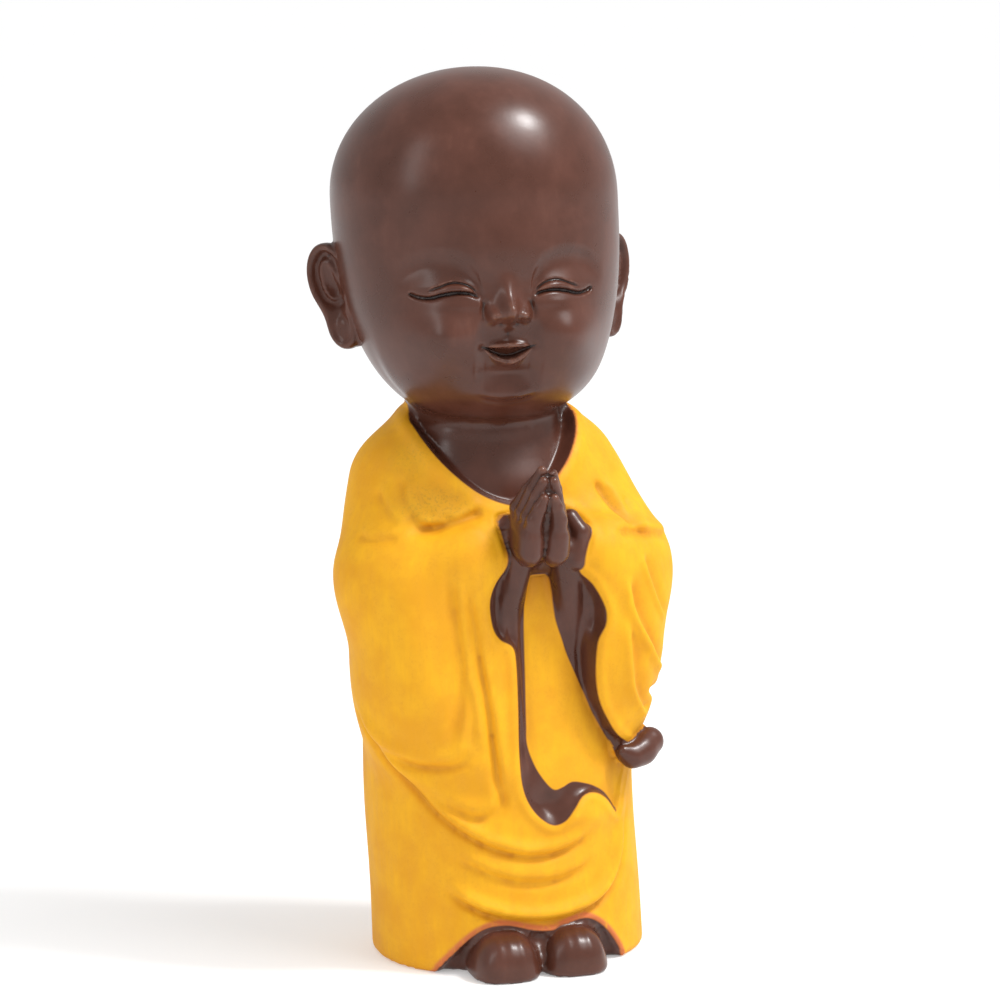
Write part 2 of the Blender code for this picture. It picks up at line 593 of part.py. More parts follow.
ROUGH_BALLS = (
    ((0, 0, 48), (22, 19, 48), 0), ((0, 0, 10), (22, 19.5, 12), 0), ((0, 0, 80), (21, 17, 14), 0),
    ((-3, 0, 129), (22, 22, 20), 0), ((-2, -3, 108), (20, 20, 19), 0), ((-2, 0, 94), (11, 11, 11), 0),
    ((-16, -7, 58), (10, 13, 22), 0), ((14, -7, 58), (10, 13, 22), 0),
    ((-19, -4, 72), (8, 8, 14), 0), ((15, -4, 72), (8, 8, 14), 0),
    ((-6.3, -19, 4.5), (7.0, 8.6, 6.2), 0), ((5.5, -19, 4.5), (7.0, 8.6, 6.2), 0),
    ((0.4, -23.5, 76), (6.6, 6.4, 9.5), 0), ((0.4, -26.5, 82), (4.2, 5.6, 7.6), 0),
    ((20.5, -14.5, 35), (6.4, 4.4, 4.4), 0), ((9, -18.5, 25.5), (7.5, 4.5, 5), 0),
    ((-8, -19, 69), (7, 6, 8), 0), ((9, -19, 69), (7, 6, 8), 0),
    ((-27.2, 2.8, 113.0), (6.0, 3.2, 11.0), -44), ((21.4, 2.8, 113.0), (6.0, 3.2, 11.0), 44),
)


def rough_form():
    """One object of overlapping balls."""
    balls = []
    for centre, radii, turn in ROUGH_BALLS:
        bpy.ops.mesh.primitive_uv_sphere_add(segments=32, ring_count=20, location=centre, scale=radii)
        bpy.context.object.rotation_euler[2] = math.radians(turn)
        balls.append(bpy.context.object)
    for made in balls:
        made.select_set(True)
    bpy.ops.object.transform_apply(location=True, rotation=True, scale=True)
    bpy.ops.object.join()
    return bpy.context.object


def apply_modifier(body, kind, **settings):
    modifier = body.modifiers.new(kind.title(), kind)
    for name, value in settings.items():
        setattr(modifier, name, value)
    bpy.ops.object.modifier_apply(modifier=modifier.name)


def coordinates(body):
    flat = np.empty(3 * len(body.data.vertices), np.float32)
    body.data.vertices.foreach_get("co", flat)
    return flat.reshape(-1, 3).astype(float)


def relax(p, edges, share):
    """Each point drawn towards the middle of its neighbours."""
    count = np.bincount(edges.ravel(), minlength=len(p))
    total = np.zeros(p.shape)
    for axis in range(3):
        total[:, axis] += np.bincount(edges[:, 0], p[edges[:, 1], axis], len(p))
        total[:, axis] += np.bincount(edges[:, 1], p[edges[:, 0], axis], len(p))
    return p + share * (total / np.maximum(count, 1)[:, None] - p)


def press(p, reach):
    """Each point moved towards the figure's surface, no farther than the reach."""
    nudge = 0.04
    f = figure(p)
    slope = np.stack([(figure(p + step) - f) / nudge for step in nudge * np.eye(3)], 1)
    steep = (slope * slope).sum(1)
    move = -(f / np.maximum(steep, 0.2))[:, None] * slope
    far = np.sqrt((move * move).sum(1))
    return p + move * np.minimum(1, reach / np.maximum(far, 1e-9))[:, None]


def settle(body, rounds, reach):
    """Body relaxed and pressed onto the figure's surface in turn."""
    edges = np.empty(2 * len(body.data.edges), np.int32)
    body.data.edges.foreach_get("vertices", edges)
    edges = edges.reshape(-1, 2)
    p = coordinates(body)
    for _ in range(rounds):
        p = press(relax(p, edges, 0.5), reach)
    p = press(press(p, reach), reach)
    body.data.vertices.foreach_set("co", p.astype(np.float32).ravel())
    body.data.update()


def plainness(p):
    """Share by which each point may be thinned out: least on the face and the hands."""
    x, y, z = p.T
    face = (y < -10) & (z > 94) & (z < 122) & (np.abs(x + 3) < 19)
    hand = (y < -20) & (z > 66) & (z < 92)
    return np.where(face | hand, 0.15, 1.0)


def resin():
    material = bpy.data.materials.new("painted_resin")
    material.use_nodes = True
    shader = material.node_tree.nodes["Principled BSDF"]
    shader.inputs["Base Color"].default_value = RESIN_COLOUR
    shader.inputs["Roughness"].default_value = 0.5
    shader.inputs["Metallic"].default_value = 0.0
    return material


def carve_figure():
    """The rough form pressed to the carved one at finer and finer size, then thinned out."""
    body = rough_form()
    for size in VOXELS:
        apply_modifier(body, "REMESH", mode="VOXEL", voxel_size=size)
        settle(body, 5, 1.2 * size)
    spared = body.vertex_groups.new(name="plain")
    plain = plainness(coordinates(body))
    for share in np.unique(plain):
        spared.add(np.flatnonzero(plain == share).tolist(), float(share), "REPLACE")
    body.data.calc_loop_triangles()
    ratio = FACETS / len(body.data.loop_triangles)
    apply_modifier(body, "DECIMATE", ratio=ratio, vertex_group="plain", vertex_group_factor=PLAIN_WEIGHT)
    body.vertex_groups.clear()
    for vertex in body.data.vertices:
        if vertex.co.z < BASE_FLAT:
            vertex.co.z = 0.0
    body.data.transform(Matrix.Scale(PART, 4))
    return body


for leftover in list(bpy.data.objects):
    bpy.data.objects.remove(leftover)

monk = carve_figure()
monk.name = "monk_figurine"
monk.data.name = "monk_figurine"
monk.data.materials.clear()
monk.data.materials.append(resin())
bpy.ops.object.shade_smooth()

figurine = bpy.data.collections.new("monk_figurine")
bpy.context.scene.collection.children.link(figurine)
for holder in list(monk.users_collection):
    holder.objects.unlink(monk)
figurine.objects.link(monk)
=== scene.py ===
"""Dressed scene of a small standing monk ornament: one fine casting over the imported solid."""

import math

import bpy
import numpy as np
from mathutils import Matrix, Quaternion, Vector


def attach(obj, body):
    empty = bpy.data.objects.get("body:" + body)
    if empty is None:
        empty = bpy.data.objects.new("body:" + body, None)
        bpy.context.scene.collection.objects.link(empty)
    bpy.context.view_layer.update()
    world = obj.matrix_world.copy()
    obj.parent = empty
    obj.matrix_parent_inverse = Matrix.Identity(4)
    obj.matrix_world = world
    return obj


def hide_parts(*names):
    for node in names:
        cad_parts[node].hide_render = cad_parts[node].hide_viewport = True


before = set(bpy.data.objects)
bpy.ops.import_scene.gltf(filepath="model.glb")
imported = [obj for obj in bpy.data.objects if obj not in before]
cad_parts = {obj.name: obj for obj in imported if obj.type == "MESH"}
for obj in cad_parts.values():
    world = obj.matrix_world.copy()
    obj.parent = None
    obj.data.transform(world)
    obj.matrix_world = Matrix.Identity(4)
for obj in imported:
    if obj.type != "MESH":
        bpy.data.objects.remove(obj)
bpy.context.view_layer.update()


# The monk. A child monk about 150 mm tall, cast in one piece in dark brown resin from a
# carved master, then painted by hand: the robe in matt yellow, all the rest left as the
# satin brown of the casting. The form is written in parts, 150 to the height, so that one
# part is a millimetre; it faces -Y and its own right hand is on the -X side.

PART = 0.001
LEAN = 0.0262  # sideways lean of the whole figure to its right, per part of height
FACE_TURN = math.radians(3.4)  # head turned a little to the figure's right
WRAP_RADIUS = 21.0  # radius on which the fold lines of the robe are laid out


def profile(height, knots):
    """Smooth curve through (height, value) knots, level past its ends."""
    at, value = np.array(knots, float).T
    slope = np.gradient(value, at)
    height = np.clip(height, at[0], at[-1])
    i = np.clip(np.searchsorted(at, height) - 1, 0, len(at) - 2)
    step = at[i + 1] - at[i]
    t = (height - at[i]) / step
    start = (2 * t**3 - 3 * t**2 + 1) * value[i] + (t**3 - 2 * t**2 + t) * step * slope[i]
    end = (3 * t**2 - 2 * t**3) * value[i + 1] + (t**3 - t**2) * step * slope[i + 1]
    return start + end


def union(a, b, blend):
    """Join of two forms, with a fillet of about this size."""
    h = np.clip(0.5 + 0.5 * (b - a) / blend, 0, 1)
    return b + (a - b) * h - blend * h * (1 - h)


def meet(a, b, blend):
    """What two forms share, with its edge eased."""
    return -union(-a, -b, blend)


def ball(p, centre, radii):
    """Distance to an egg shape, below nought inside it."""
    q = (p - np.array(centre, float)) / np.array(radii, float)
    near = np.sqrt((q * q).sum(1))
    q = q / np.array(radii, float)
    return near * (near - 1) / np.maximum(np.sqrt((q * q).sum(1)), 1e-9)


def limb(p, start, end, start_radius, end_radius):
    """Distance to a tapered bar with round ends."""
    start = np.array(start, float)
    along = np.array(end, float) - start
    t = np.clip(((p - start) @ along) / (along @ along), 0, 1)
    q = p - start - t[:, None] * along
    return np.sqrt((q * q).sum(1)) - (start_radius + t * (end_radius - start_radius))


def chain(p, stations, blend):
    """Bars joined end to end through (centre, radius) stations."""
    f = None
    for (a, ra), (b, rb) in zip(stations, stations[1:]):
        bar = limb(p, a, b, ra, rb)
        f = bar if f is None else union(f, bar, blend)
    return f


def bell(u, v, middle, size):
    """One in the middle, falling away smoothly all round."""
    return np.exp(-(((u - middle[0]) / size[0]) ** 2) - ((v - middle[1]) / size[1]) ** 2)


def rise(value, start, end):
    """Nought before the start, one after the end, eased between them."""
    t = np.clip((value - start) / (end - start), 0, 1)
    return t * t * (3 - 2 * t)


def smooth_line(knots, pieces=5):
    """Points of a smooth curve through the knots."""
    k = np.array(knots, float)
    k = np.vstack([2 * k[0] - k[1], k, 2 * k[-1] - k[-2]])
    t = np.linspace(0, 1, pieces, endpoint=False)[:, None]
    made = []
    for a, b, c, d in zip(k, k[1:], k[2:], k[3:]):
        bend = (2 * a - 5 * b + 4 * c - d) * t**2 + (3 * b - a - 3 * c + d) * t**3
        made.append(0.5 * (2 * b + (c - a) * t + bend))
    made.append(k[-2][None])
    return np.vstack(made)


def to_line(u, v, line):
    """Distance to a line, the side of it and the share of its length gone by."""
    best = np.full(u.shape, 1e9)
    side = np.zeros(u.shape)
    share = np.zeros(u.shape)
    count = len(line) - 1
    for i, ((ax, ay), (bx, by)) in enumerate(zip(line, line[1:])):
        dx, dy = bx - ax, by - ay
        t = np.clip(((u - ax) * dx + (v - ay) * dy) / (dx * dx + dy * dy), 0, 1)
        d = (u - ax - t * dx) ** 2 + (v - ay - t * dy) ** 2
        nearer = d < best
        best = np.where(nearer, d, best)
        share = np.where(nearer, (i + t) / count, share)
        side = np.where(nearer, np.sign(dx * (v - ay) - dy * (u - ax)), side)
    return np.sqrt(best), side, share


def inside(u, v, line):
    """Signed distance to a closed line, below nought within it."""
    ring = np.vstack([line, line[:1]])
    within = np.zeros(u.shape, bool)
    for (ax, ay), (bx, by) in zip(ring, ring[1:]):
        if ay != by:
            within ^= ((ay > v) != (by > v)) & (u < ax + (v - ay) * (bx - ax) / (by - ay))
    distance = to_line(u, v, ring)[0]
    return np.where(within, -distance, distance)


def groove(u, v, knots, width, depth, swell=0.0, ends=0.18):
    """Depth of a line cut along the knots, with a swelling on its left hand."""
    distance, side, share = to_line(u, v, smooth_line(knots))
    fade = rise(np.minimum(share, 1 - share), 0, ends)
    cut = depth * np.exp(-((distance / width) ** 2))
    lift = swell * np.exp(-(((side * distance - 1.7 * width) / (1.5 * width)) ** 2))
    return fade * (cut - lift)


def charted(field, low, high, step):
    """The field worked out once on a fine chart and read off from there."""
    across = np.arange(low[0], high[0] + step, step)
    up = np.arange(low[1], high[1] + step, step)
    table = field(*np.meshgrid(across, up, indexing="ij"))

    def read(u, v):
        a = np.clip((u - low[0]) / step, 0, len(across) - 1.001)
        b = np.clip((v - low[1]) / step, 0, len(up) - 1.001)
        i, j = a.astype(int), b.astype(int)
        a, b = a - i, b - j
        near = table[i, j] * (1 - b) + table[i, j + 1] * b
        far = table[i + 1, j] * (1 - b) + table[i + 1, j + 1] * b
        return near * (1 - a) + far * a

    return read


def where_near(p, low, high, form):
    """The form worked out inside a box only, and taken as far off elsewhere."""
    box = ((p > np.array(low, float)) & (p < np.array(high, float))).all(axis=1)
    f = np.full(len(p), 9.0)
    if box.any():
        f[box] = form(p[box])
    return f


# Robe: an oval column with wide sleeves over it. Each table goes up the figure.

HALF_WIDTH = (
    (0, 23.2), (11, 23.0), (40, 22.9), (70, 23.0), (78, 22.4),
    (84.5, 20.6), (88, 18.5), (91.5, 15.6), (95, 11.5), (97, 9.5),
)
FRONT = (
    (0, 20.6), (10, 20.9), (30, 20.6), (50, 20.0), (65, 19.0),
    (78, 17.0), (86, 14.8), (91, 12.6), (95, 10.6), (97, 9.5),
)
BACK = (
    (0, 20.2), (15, 20.0), (50, 18.5), (70, 18.8), (80, 18.4),
    (86, 17.0), (91, 14.0), (95, 10.5), (97, 9.5),
)
PANEL_FRONT = (
    (0, 20.6), (10, 20.9), (22, 20.6), (30, 19.9), (38, 18.8),
    (50, 17.8), (62, 17.4), (72, 17.2), (78, 16.2), (86, 14.0), (97, 9.5),
)
CHEST_HALF = ((70, 15.0), (80, 15.0), (84, 14.6), (87, 13.8), (90, 12.9), (98, 12.4))
CHEST_FRONT = ((70, 14.5), (78, 15.6), (82, 15.0), (86, 13.4), (89, 12.4), (98, 12.0))

# Edges seen from the front as (across, up): the two sleeves part over a straight panel.
SLEEVE_EDGE = (
    (-1.8, 77.2), (-3.2, 76.7), (-3.1, 74.3), (-2.6, 71.0), (-3.0, 68.8), (-4.9, 66.3),
    (-5.9, 63.2), (-5.5, 59.2), (-4.2, 56.9), (-2.0, 55.4), (-1.5, 52.5), (-1.6, 45.0),
    (-1.8, 37.0), (-1.4, 31.3), (0.3, 27.5), (3.0, 25.2), (5.2, 25.5), (7.0, 27.4),
    (8.8, 29.3), (11.0, 29.7), (13.4, 28.4), (15.6, 25.4),
)
FAR_SLEEVE_EDGE = (
    (19.4, 36.2), (15.9, 38.9), (13.6, 42.5), (12.3, 46.0), (11.8, 50.5), (12.2, 55.5),
    (13.6, 58.6), (13.5, 61.5), (11.6, 65.2), (9.4, 67.5), (9.3, 69.4), (10.6, 71.6),
    (11.4, 74.2), (10.6, 76.4), (8.4, 77.2),
)
PANEL_EDGE = (
    (2.4, 67.3), (1.2, 66.4), (0.7, 62.5), (0.5, 56.0), (0.3, 49.0), (0.0, 42.0),
    (-0.1, 38.6), (0.9, 35.1), (2.4, 32.4), (4.0, 30.7), (5.6, 30.9), (7.4, 31.6),
    (9.4, 31.2), (11.6, 30.3), (13.8, 28.6), (16.1, 25.0),
)
FAR_PANEL_EDGE = (
    (19.6, 32.6), (16.8, 35.2), (14.5, 38.6), (12.4, 42.4), (10.9, 46.0), (9.5, 49.4),
    (8.2, 52.6), (7.2, 55.8), (6.3, 58.8), (5.9, 61.5), (5.3, 66.2), (3.8, 67.3),
)
NECKLINE = (
    (0.0, 78.4), (3.1, 79.4), (6.0, 81.0), (9.0, 83.6), (11.4, 86.4),
    (13.2, 89.4), (14.2, 92.2), (14.6, 95.0), (14.6, 104.0),
)
NECKLINE_BACK = 94.6
HEM_ARCH = (
    (-17.0, -4.0), (-16.2, 0.2), (-13.8, 3.4), (-11.2, 6.2), (-8.4, 8.0), (-5.0, 8.2),
    (-1.0, 7.2), (2.5, 6.9), (6.0, 7.9), (9.0, 8.1), (11.6, 6.4), (13.8, 3.6),
    (15.2, 0.8), (16.0, -4.0),
)

# Fold lines: (round the robe, up) knots, then width, depth and swelling beside the cut. A
# depth below nought raises a ridge instead.
FOLDS = (
    # down and under the figure's right sleeve
    (
        ((-9.0, 71.0), (-8.6, 63.0), (-8.1, 57.0), (-7.5, 50.5), (-6.7, 44.0), (-6.2, 38.0),
         (-5.6, 31.5), (-4.8, 27.5)),
        0.8, 0.65, 0.4,
    ),
    (
        ((-11.0, 71.0), (-10.8, 62.0), (-10.3, 53.0), (-10.8, 45.5), (-12.6, 39.0)),
        0.9, 0.5, 0.35,
    ),
    (((-9.4, 51.0), (-9.0, 45.0), (-9.6, 39.5), (-11.8, 36.4)), 0.7, 0.35, 0.25),
    (
        ((-28.5, 46.5), (-24.0, 40.0), (-18.5, 36.2), (-12.5, 35.8), (-9.0, 38.0), (-8.0, 42.0)),
        1.0, 0.6, 0.5,
    ),
    (
        ((-26.0, 43.0), (-21.5, 35.3), (-16.0, 30.0), (-10.5, 27.0), (-6.4, 27.7), (-4.6, 31.0),
         (-4.4, 35.0)),
        1.0, 0.45, 0.35,
    ),
    # lower edge of the upper garment, then the two deep folds of the skirt
    (
        ((-27.5, 45.4), (-24.2, 38.4), (-20.2, 32.3), (-15.0, 26.7), (-9.0, 22.5), (-3.0, 20.2),
         (2.5, 19.9), (7.5, 21.2), (11.0, 23.4)),
        0.8, 0.65, 0.6,
    ),
    (
        ((-14.5, 21.0), (-9.5, 17.9), (-4.0, 15.8), (1.5, 15.2), (7.0, 16.2), (11.5, 18.6)),
        0.9, 0.45, 0.4,
    ),
    (
        ((-16.2, 16.0), (-12.6, 12.6), (-7.6, 10.0), (-1.0, 8.6), (5.5, 8.9), (11.5, 10.6),
         (15.6, 14.2), (18.6, 20.5), (20.8, 28.0)),
        0.85, 0.8, 0.8,
    ),
    # round the figure's left sleeve
    (
        ((14.2, 67.0), (14.7, 61.2), (16.2, 56.8), (19.0, 51.5), (22.8, 47.8)),
        0.75, -0.8, -0.7,
    ),
    (
        ((14.0, 60.0), (14.4, 53.0), (15.6, 47.0), (18.0, 43.0), (20.6, 40.6)),
        0.7, -0.6, -0.55,
    ),
    (((17.2, 69.5), (17.8, 65.7), (19.4, 61.0), (22.0, 56.6)), 0.6, -0.45, -0.45),
    (((19.4, 47.0), (22.0, 45.2), (25.5, 44.8), (30.0, 45.4)), 0.9, 0.8, 0.0),
    # arm pits and the tops of the forearms
    (((-18.2, 74.9), (-15.2, 75.1), (-12.0, 75.8), (-8.8, 76.8), (-5.8, 77.8)), 1.0, 0.6, 0.35),
    (((-21.6, 84.0), (-20.6, 80.6), (-18.8, 77.6), (-15.6, 75.6), (-12.0, 75.2)), 1.1, 0.45, 0.3),
    (((-18.6, 82.0), (-17.2, 79.2), (-14.6, 77.4), (-11.0, 77.0)), 0.8, 0.3, 0.15),
    (((-24.6, 81.6), (-22.0, 78.0), (-19.4, 75.4)), 0.8, 0.4, 0.2),
    (((-25.0, 74.0), (-21.8, 73.4), (-18.4, 74.0)), 0.8, 0.35, 0.2),
    (((13.4, 73.2), (17.5, 72.9), (22.5, 71.6), (27.0, 70.2)), 0.9, 0.6, 0.35),
    (((19.0, 81.5), (18.9, 77.0), (18.0, 73.4)), 0.8, 0.6, 0.3),
    (((22.0, 78.5), (20.2, 75.6), (18.4, 73.6)), 0.7, 0.35, 0.2),
)


def draw_folds(s, z):
    """Depth of all the fold lines at a place on the robe."""
    cut = np.zeros(s.shape)
    for knots, width, depth, swell in FOLDS:
        cut = cut + groove(s, z, knots, width, depth, swell)
    return cut


def neckline_field():
    """Signed distance inside the neckline, which is the same on both sides."""
    half = smooth_line(NECKLINE)
    outline = np.vstack([half, half[:0:-1] * (-1, 1)])
    return charted(lambda x, z: inside(x, z, outline), (-26, 70), (26, 104), 0.15)


def edge_field(down, up):
    """Signed distance inside the outline that goes down one edge and back up the other."""
    outline = np.vstack([smooth_line(down), smooth_line(up)])
    return charted(lambda x, z: inside(x, z, outline), (-12, 18), (30, 86), 0.15)


FOLD_STRENGTH = 1.3  # how much deeper the folds are cut than the table above says
folds_at = charted(draw_folds, (-34, 5), (34, 90), 0.2)
opening_at = edge_field(SLEEVE_EDGE, FAR_SLEEVE_EDGE)
panel_at = edge_field(PANEL_EDGE, FAR_PANEL_EDGE)
neck_at = neckline_field()
hem_at = charted(lambda x, z: inside(x, z, smooth_line(HEM_ARCH)), (-26, -3), (26, 20), 0.15)


def column(p, front, half=HALF_WIDTH):
    """Upright form of oval section: half width across and depth to front and back by height."""
    x, y, z = p.T
    wide = profile(z, half)
    deep = np.where(y < 0, profile(z, front), profile(z, BACK))
    squareness = 2.2
    out = (np.abs(x / wide) ** squareness + np.abs(y / deep) ** squareness) ** (1 / squareness)
    return (out - 1) * np.minimum(wide, deep)


def right_sleeve(p):
    upper = limb(p, (-14.5, -1.5, 80.9), (-18.6, -6.5, 68.0), 9.2, 9.2)
    fore = limb(p, (-18.4, -7.8, 64.5), (-7.6, -16.4, 70.6), 9.1, 6.0)
    hanging = ball(p, (-15.2, -8.0, 55.0), (11.4, 13.6, 23.0))
    hem = ball(p, (-13.5, -7.0, 46.0), (12.0, 14.0, 16.0))
    fall = limb(p, (-8.4, -15.8, 69.0), (-8.8, -14.6, 37.0), 6.0, 5.0)
    return union(union(union(union(upper, fore, 4.0), hanging, 5.0), hem, 3.0), fall, 4.0)


def left_sleeve(p):
    upper = limb(p, (13.4, -1.0, 82.0), (19.2, -6.5, 68.0), 8.4, 9.6)
    fore = limb(p, (19.0, -7.8, 64.5), (13.4, -16.8, 70.2), 9.4, 5.8)
    hanging = ball(p, (15.6, -8.0, 56.5), (11.4, 13.6, 21.0))
    hem = ball(p, (14.6, -8.0, 44.0), (8.8, 11.0, 10.5))
    pouch = union(
        ball(p, (17.7, -8.2, 57.0), (8.8, 11.2, 9.0)),
        ball(p, (17.0, -8.4, 51.4), (8.5, 11.0, 7.0)), 2.0,
    )
    fall = limb(p, (14.6, -15.4, 68.0), (17.0, -12.0, 44.0), 5.4, 4.6)
    f = union(union(union(upper, fore, 4.0), hanging, 5.0), fall, 4.0)
    return union(union(f, hem, 1.6), pouch, 1.4)


def neck_edge(p):
    """How far a point is outside the neckline."""
    x, y, z = p.T
    front = neck_at(x, z)
    return front + (NECKLINE_BACK - z - front) * rise(y, -6, 2)


def front_edges(p):
    """How far a point is outside the gap between the sleeves, and outside the panel in it."""
    x, y, z = p.T
    front = y < -4
    return np.where(front, opening_at(x, z), 20.0), np.where(front, panel_at(x, z), 20.0)


def hem_edge(p):
    """How far a point is outside the arch of the hem."""
    return np.where(p[:, 1] < -4, hem_at(p[:, 0], p[:, 2]), 20.0)


def robe(p):
    x, y, z = p.T
    # the skirt stands a little to the figure's right of its feet
    skirt = p + np.outer(0.5 * np.exp(-(((z - 27) / 12) ** 2)), (1.0, 0.0, 0.0))
    cloth = column(skirt, FRONT)
    cloth = union(cloth, right_sleeve(p), 3.5)
    cloth = union(cloth, left_sleeve(p), 3.5)
    cloth = cloth + FOLD_STRENGTH * folds_at(WRAP_RADIUS * np.arctan2(x, -y), z)
    # the corner of the right sleeve curls over the skirt like a wave
    curl = np.where(y < 0, bell(x, z, (10.0, 26.2), (5.2, 3.0)), 0)
    cloth = cloth - 1.5 * curl
    # soft rolls along the collar and along the edges of the sleeves
    neck = neck_edge(p)
    gap, panel = front_edges(p)
    cloth = cloth - 0.45 * np.exp(-(((neck - 1.3) / 1.2) ** 2))
    cloth = cloth - 0.35 * np.exp(-(((gap - 0.9) / 0.8) ** 2)) * rise(panel, 0, 0.8)
    # between the sleeves the surface falls back to the panel, over the pleated lining
    within = np.clip(-gap, 0, None)
    span = within / np.maximum(within + np.clip(panel, 0, None), 1e-6)
    fall = (1 - (1 - span) ** 2.2) * (1 - rise(x, 16.0, 19.5))
    f = cloth + (column(skirt, PANEL_FRONT) - cloth) * fall
    f = f + 2.2 * rise(within, 0, 1.4) * rise(z, 66, 69.5) * (1 - rise(x, 4, 6))
    pleats = np.sin(2.6 * x + 0.35 * np.sin(0.25 * z)) * rise(z, 32, 38)
    f = f + 0.4 * 4 * span * (1 - span) * pleats
    f = f + 1.0 * bell(x, z, (2.4, 28.2), (2.4, 2.4)) * np.clip(3 * span * (1 - span), 0, 0.6) / 0.6
    # within the collar it falls to the chest
    chest = column(p, CHEST_FRONT, CHEST_HALF)
    f = np.where(neck < 0, union(chest, np.maximum(f, cloth - 2.1 * neck), 0.9), f)
    # the hem lifts in an arch over the feet
    hem = hem_edge(p)
    f = f - 0.3 * np.exp(-(((hem - 0.8) / 0.8) ** 2))
    f = f + 2.2 * (1 - np.exp(1.1 * np.clip(hem, None, 0)))
    f = meet(f, -z, 1.2)
    return meet(f, z - 96.0, 2.0)


def sleeve_tail(p):
    """Corner of the left sleeve, rolled outward past the robe's side like a lip."""
    return chain(p, (
        ((16.4, -16.9, 36.0), 0.9), ((19.0, -15.8, 34.7), 1.9), ((21.0, -14.5, 35.2), 2.3),
        ((23.0, -13.0, 36.3), 2.4),
    ), 1.5)


def foot(p, side):
    x = p[:, 0] - side * 5.9
    y = p[:, 1] + 18.6 - 0.3 * side
    z = p[:, 2] - 1.4
    x = x * (1 + 0.03 * np.clip(z, 0, 6))
    out = np.abs(x / 5.8) ** 2.9 + np.abs(y / 7.3) ** 2.7 + np.abs(z / 6.3) ** 2.5
    toes = np.cos(x * 2 * math.pi / 2.3) * np.exp(-(((y + 5.0) / 2.8) ** 2))
    toes = toes * rise(z, -1, 3) * np.clip(1.25 - np.abs(x) / 5, 0, 1)
    return (out ** (1 / 2.7) - 1) * 5.5 - 0.05 * toes


def feet(p):
    pair = union(foot(p, -1), foot(p, 1), 0.6 + 1.0 * (1 - rise(p[:, 2], 1.0, 4.0)))
    return meet(pair, -p[:, 2], 0.9)


# Head: an egg with a broad jaw, carved on a chart of the face seen from the front

HEAD_MIDDLE = 128.5
HEAD_UP = 21.5
HEAD_DOWN = 37.3
HEAD_HALF_WIDTH = 24.0
HEAD_HALF_DEPTH = 24.3

EYE_SLIT = (
    (4.4, 113.5), (6.0, 114.2), (8.0, 114.4), (10.0, 114.1), (12.2, 113.5), (14.0, 113.7),
    (15.4, 114.4),
)
BROW = (
    (3.9, 115.0), (4.4, 117.2), (5.4, 119.0), (7.2, 120.3), (9.5, 120.9), (12.0, 120.9),
    (14.5, 120.2), (16.5, 119.0),
)
LID_CREASE = ((4.5, 114.0), (5.9, 115.3), (7.4, 115.9), (9.0, 115.9), (10.7, 115.3), (12.8, 114.5))
NOSE_WING = ((2.6, 113.0), (3.6, 112.7), (4.1, 111.6), (4.0, 110.4), (3.3, 109.6))
SMILE_CORNER = ((2.7, 105.1), (3.3, 105.2), (3.9, 105.35), (4.7, 105.65))
CHIN_CREASE = ((-5.6, 97.4), (-2.9, 96.4), (0.0, 96.0), (2.9, 96.4), (5.6, 97.4))


